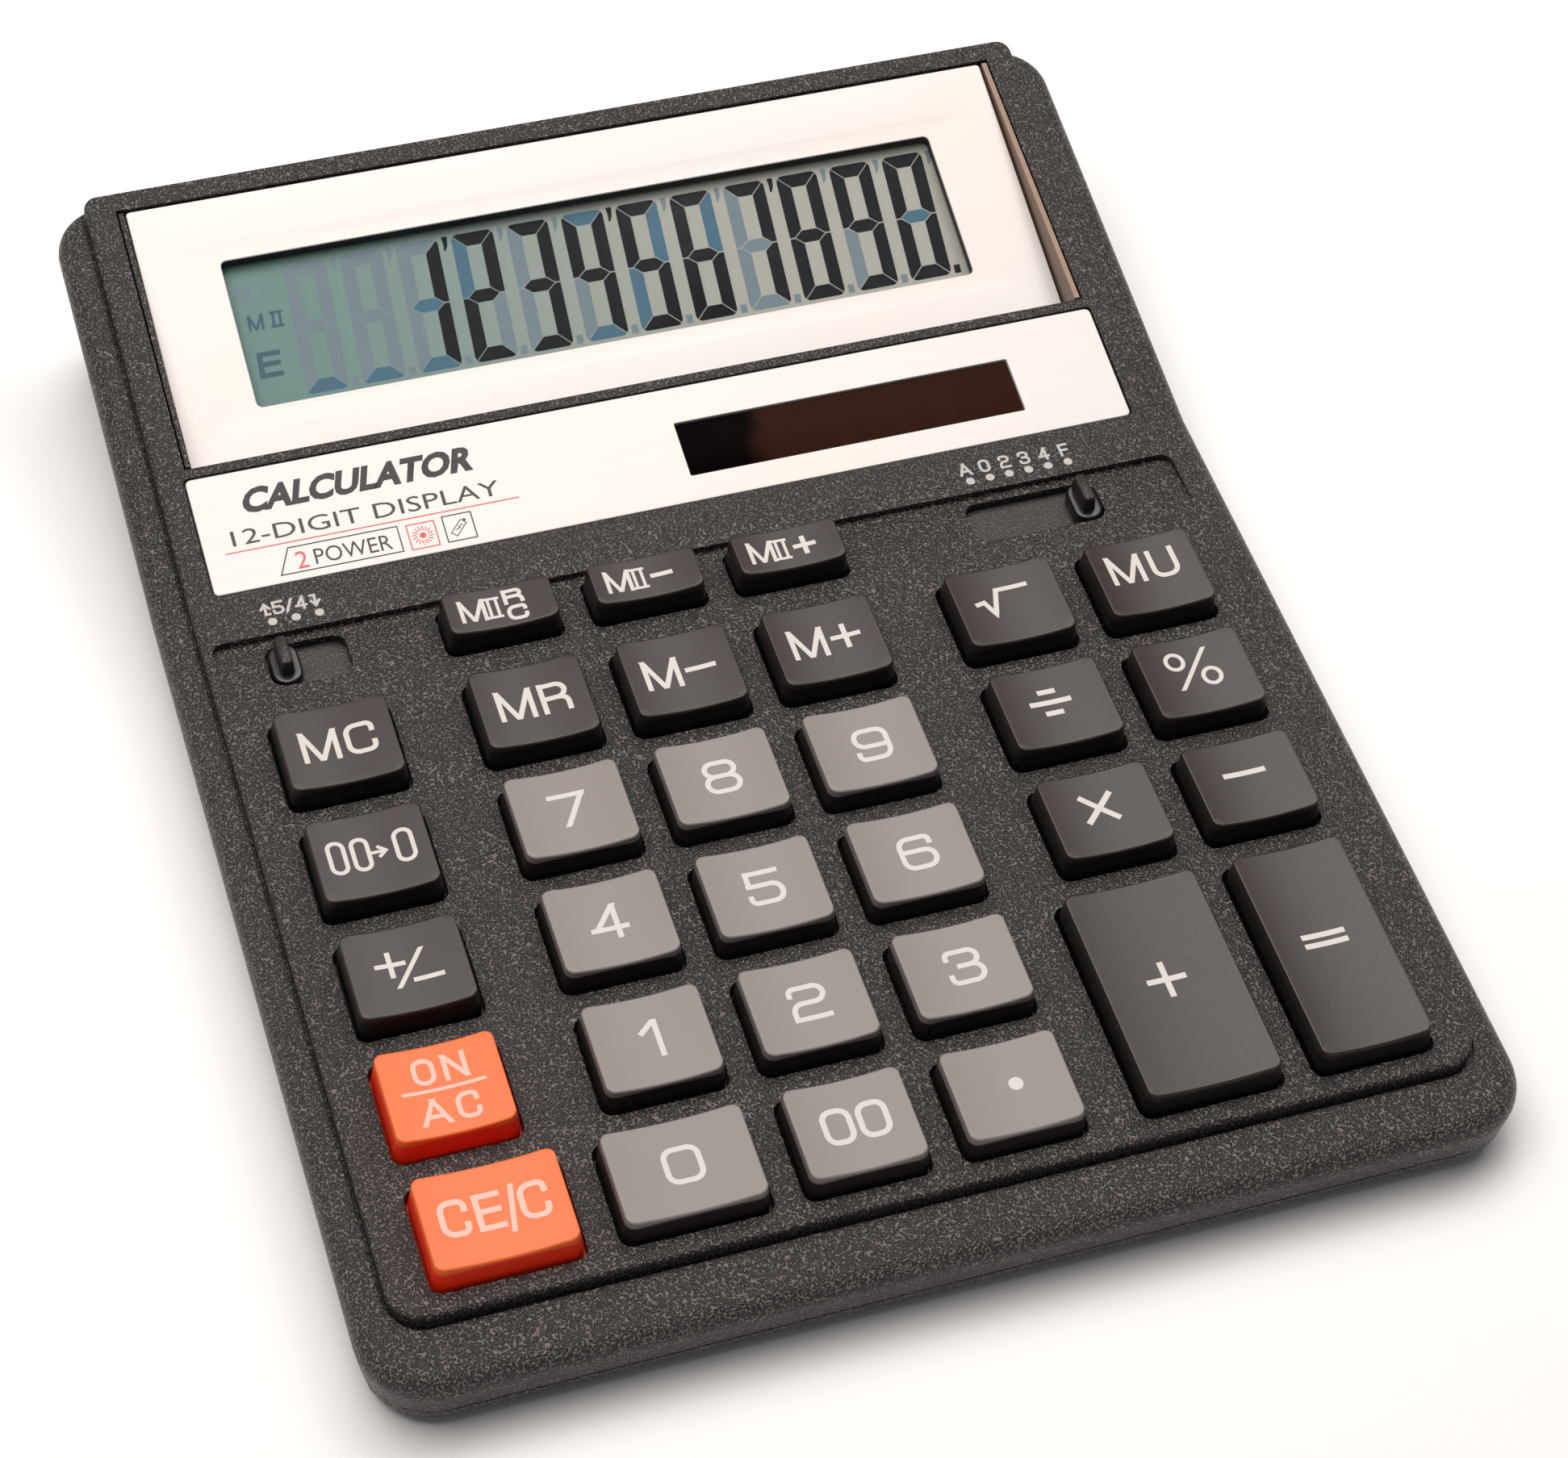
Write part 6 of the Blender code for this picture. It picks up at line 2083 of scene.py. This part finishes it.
@dataclass(frozen=True)
class BaseTray:
    """The lower shell's fittings: feet, screws, and grip ridges on the battery door."""

    screw_head: float = 1.6 * MM
    screw_radius: float = 1.3 * MM
    screw_tip: float = 1.3 * MM
    recess: float = 1.5 * MM
    recess_arm: float = 0.36 * MM
    ridge_half: float = 5.5 * MM
    ridges: int = 6
    ridge_pitch: float = 1.6 * MM

    def build(self) -> dict[str, bpy.types.Object]:
        """Make the fittings.

        Returns:
            The pieces by name.
        """
        return {"screws": self._screws(), "feet": self._feet(), "door_ridges": self._ridges()}

    @staticmethod
    def _centres(prefix: str) -> list[Vector]:
        """Lowest middle points of the CAD nodes with a prefix, in name order."""
        places = []
        for node in sorted(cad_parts):
            if node.startswith(prefix):
                low, high = (Vector(corner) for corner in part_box(node))
                places.append(Vector(((low.x + high.x) / 2, (low.y + high.y) / 2, low.z)))
        return places

    def _screws(self) -> bpy.types.Object:
        """Six screws with a domed head and a cross recess."""
        low, high = (Vector(corner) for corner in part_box("screw_front_left"))
        length = high.z - low.z
        dome = ((0.9, 0.0), (1.6, 0.06), (2.1, 0.22), (2.4, 0.5), (2.5, 0.9), (2.5, 1.6))
        profile = [(radius * MM, height * MM) for radius, height in dome] + [
            (self.screw_radius, self.screw_head), (self.screw_radius, length - self.screw_tip), (0.6 * MM, length)
        ]
        shape = Shape()
        shape.stack([(circle(radius, 32), height) for radius, height in profile])
        screw = shape.settle("screw_piece", SCREW_STEEL)
        tools = []
        for half_x, half_y in ((self.recess, self.recess_arm), (self.recess_arm, self.recess)):
            slot = Shape()
            slot.stack([
                (rounded_rect(half_x, half_y, 0.1 * MM, 2), -0.5 * MM),
                (rounded_rect(half_x * 0.55, half_y * 0.8, 0.08 * MM, 2), self.screw_head * 0.7),
            ])
            tools.append(slot.settle("cross_recess"))
        carve(screw, *((Cut.TAKE, tool) for tool in tools))
        bake_modifiers(screw, *tools)
        return REPEATER.spread("base_screws", screw, self._centres("screw_"), SCREW_STEEL)

    def _feet(self) -> bpy.types.Object:
        """Four rubber feet with a softened edge and a shallow dished face."""
        shape = Shape()
        profile = ((3.6, 0.12), (4.0, 0.0), (5.3, 0.0), (5.65, 0.12), (5.85, 0.35), (6.0, 0.7))
        shape.stack([(circle(radius * MM, 48), height * MM) for radius, height in profile])
        foot = shape.settle("foot_piece", FOOT_RUBBER)
        return REPEATER.spread("rubber_feet", foot, self._centres("foot_"), FOOT_RUBBER)

    def _ridges(self) -> bpy.types.Object:
        """Half-round grip ridges across the battery door."""
        low, high = (Vector(corner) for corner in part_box("battery_door"))
        shape = Shape()
        profile = []
        for step in range(7):
            turn = math.radians(180 + 180 * step / 6)
            profile.append((0.4 * MM * math.cos(turn), 0.32 * MM * math.sin(turn)))
        profile += [(0.4 * MM, 0.1 * MM), (-0.4 * MM, 0.1 * MM)]
        shape.side_prism(profile, -self.ridge_half, self.ridge_half)
        ridge = shape.settle("ridge_piece", CASE_BLACK)
        x = (low.x + high.x) / 2
        start = high.y - 14 * MM
        places = [Vector((x, start + self.ridge_pitch * step, low.z)) for step in range(self.ridges)]
        return REPEATER.spread("door_ridges", ridge, places, CASE_BLACK)


CARRIED_OVER: dict[str, Finish] = {
    "bottom_case": CASE_BLACK,
    "battery_door": CASE_BLACK,
    "key_mat": MAT_RUBBER,
    "main_board": BOARD_GREEN,
    "lcd_holder": HOLDER_WHITE,
    "lcd_ribbon": RIBBON_BROWN,
    "solar_lead": LEAD_RED,
    "button_cell": SCREW_STEEL,
    "cell_contact_top": CONTACT_BRASS,
    "cell_contact_side": CONTACT_BRASS,
}


def dress_frame() -> None:
    """Give the CAD nodes that stay their finishes."""
    for node, finish in CARRIED_OVER.items():
        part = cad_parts[node]
        for material_slot in part.material_slots:
            material_slot.material = finish.material()
        if not part.material_slots:
            part.data.materials.append(finish.material())


# Studio


@dataclass(frozen=True)
class Lamp:
    """A soft rectangular lamp.

    Attributes:
        name: The lamp's name.
        place: Where it hangs.
        aim: The point it shines at.
        size: Width and height in metres.
        power: Power in watts.
        color: Colour of its light.
    """

    name: str
    place: Vector
    aim: Vector
    size: Point2
    power: float
    color: Color = (1.0, 1.0, 1.0)

    def hang(self) -> None:
        """Add the lamp to the scene."""
        light = bpy.data.lights.new(self.name, "AREA")
        light.shape = "RECTANGLE"
        light.size, light.size_y = self.size
        light.energy = self.power
        light.color = self.color
        lamp = bpy.data.objects.new(self.name, light)
        lamp.location = self.place
        lamp.rotation_euler = (self.aim - self.place).to_track_quat("-Z", "Y").to_euler()
        bpy.context.scene.collection.objects.link(lamp)


WARM: Color = (1.0, 0.94, 0.91)


@dataclass(frozen=True)
class Studio:
    """Pale floor, soft light and the camera."""

    place: Vector = field(default_factory=lambda: Vector((-0.1208, -0.3286, 0.4241)))
    right: Vector = field(default_factory=lambda: Vector((0.95153, -0.30336, 0.05068)))
    upward: Vector = field(default_factory=lambda: Vector((0.20438, 0.74679, 0.63288)))
    lens: float = 86.73
    sky: float = 0.15
    lamps: tuple[Lamp, ...] = field(default_factory=lambda: (
        Lamp("over_soft", Vector((-0.25, 0.15, 1.0)), Vector((0, 0, 0)), (1.0, 0.8), 10.0, WARM),
        Lamp("back_soft", Vector((0.42, 0.42, 0.95)), Vector((0, 0, 0)), (0.9, 0.5), 5.4, WARM),
    ))

    def build(self) -> None:
        """Set up world, floor, lamps, camera and view."""
        scene = bpy.context.scene
        world = bpy.data.worlds.new("studio_white")
        world.use_nodes = True
        graph = Graph(world.node_tree)
        sky = graph.node("ShaderNodeBackground", inputs={"Color": (1.0, 1.0, 1.0, 1.0), "Strength": self.sky})
        graph.node("ShaderNodeOutputWorld", inputs={"Surface": sky.outputs[0]})
        scene.world = world
        shape = Shape()
        shape.prism(rounded_rect(2.0, 2.0, 0.2, 4), -0.01, -0.0001)
        shape.settle("studio_floor", FLOOR_PALE)
        for lamp in self.lamps:
            lamp.hang()
        data = bpy.data.cameras.new("camera")
        data.sensor_width = 36.0
        data.sensor_fit = "HORIZONTAL"
        data.lens = self.lens
        data.clip_start = 0.01
        camera = bpy.data.objects.new("camera", data)
        turn = Matrix((self.right, self.upward, self.right.cross(self.upward))).transposed()
        camera.matrix_world = Matrix.Translation(self.place) @ turn.to_4x4()
        scene.collection.objects.link(camera)
        scene.camera = camera
        scene.view_settings.view_transform = "Standard"


# Assembly


def place(piece: bpy.types.Object, body: str, *nodes: str) -> None:
    """Let a piece ride on a body and stand for CAD nodes.

    Args:
        piece: The piece.
        body: The body's name.
        nodes: The CAD nodes it stands for.
    """
    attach(piece, body)
    if nodes:
        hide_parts(*nodes)
    LOG.info("%s: %d faces on %s", piece.name, len(piece.data.polygons), body)


def main() -> None:
    """Build the calculator and its studio."""
    logging.basicConfig(level=logging.INFO, format="%(message)s")
    Studio().build()
    dress_frame()
    keys = make_key_list()
    shell = UpperShell().build(keys, (ROUNDING.slot, DECIMAL.slot))
    place(shell, "case", "top_case")
    for key in keys:
        place(key.build(), key.node, key.node)
    for switch in (ROUNDING, DECIMAL):
        place(switch.build(), switch.node, switch.node)
    for piece in SwitchScales().build():
        place(piece, "case")
    plate, cheeks, lens, crystal, picture = ScreenUnit().build()
    place(plate, "case", "screen_plate")
    place(cheeks, "case")
    place(lens, "case", "screen_lens")
    place(crystal, "case", "lcd_glass")
    place(picture, "case")
    strip, lettering, cell = BrightStrip().build()
    place(strip, "case", "solar_strip")
    place(lettering, "case")
    place(cell, "case", "solar_cell")
    fittings = BaseTray().build()
    nodes = sorted(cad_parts)
    place(fittings["screws"], "case", *(node for node in nodes if node.startswith("screw_")))
    place(fittings["feet"], "case", *(node for node in nodes if node.startswith("foot_")))
    place(fittings["door_ridges"], "battery_door")


if __name__ == "__main__":
    main()
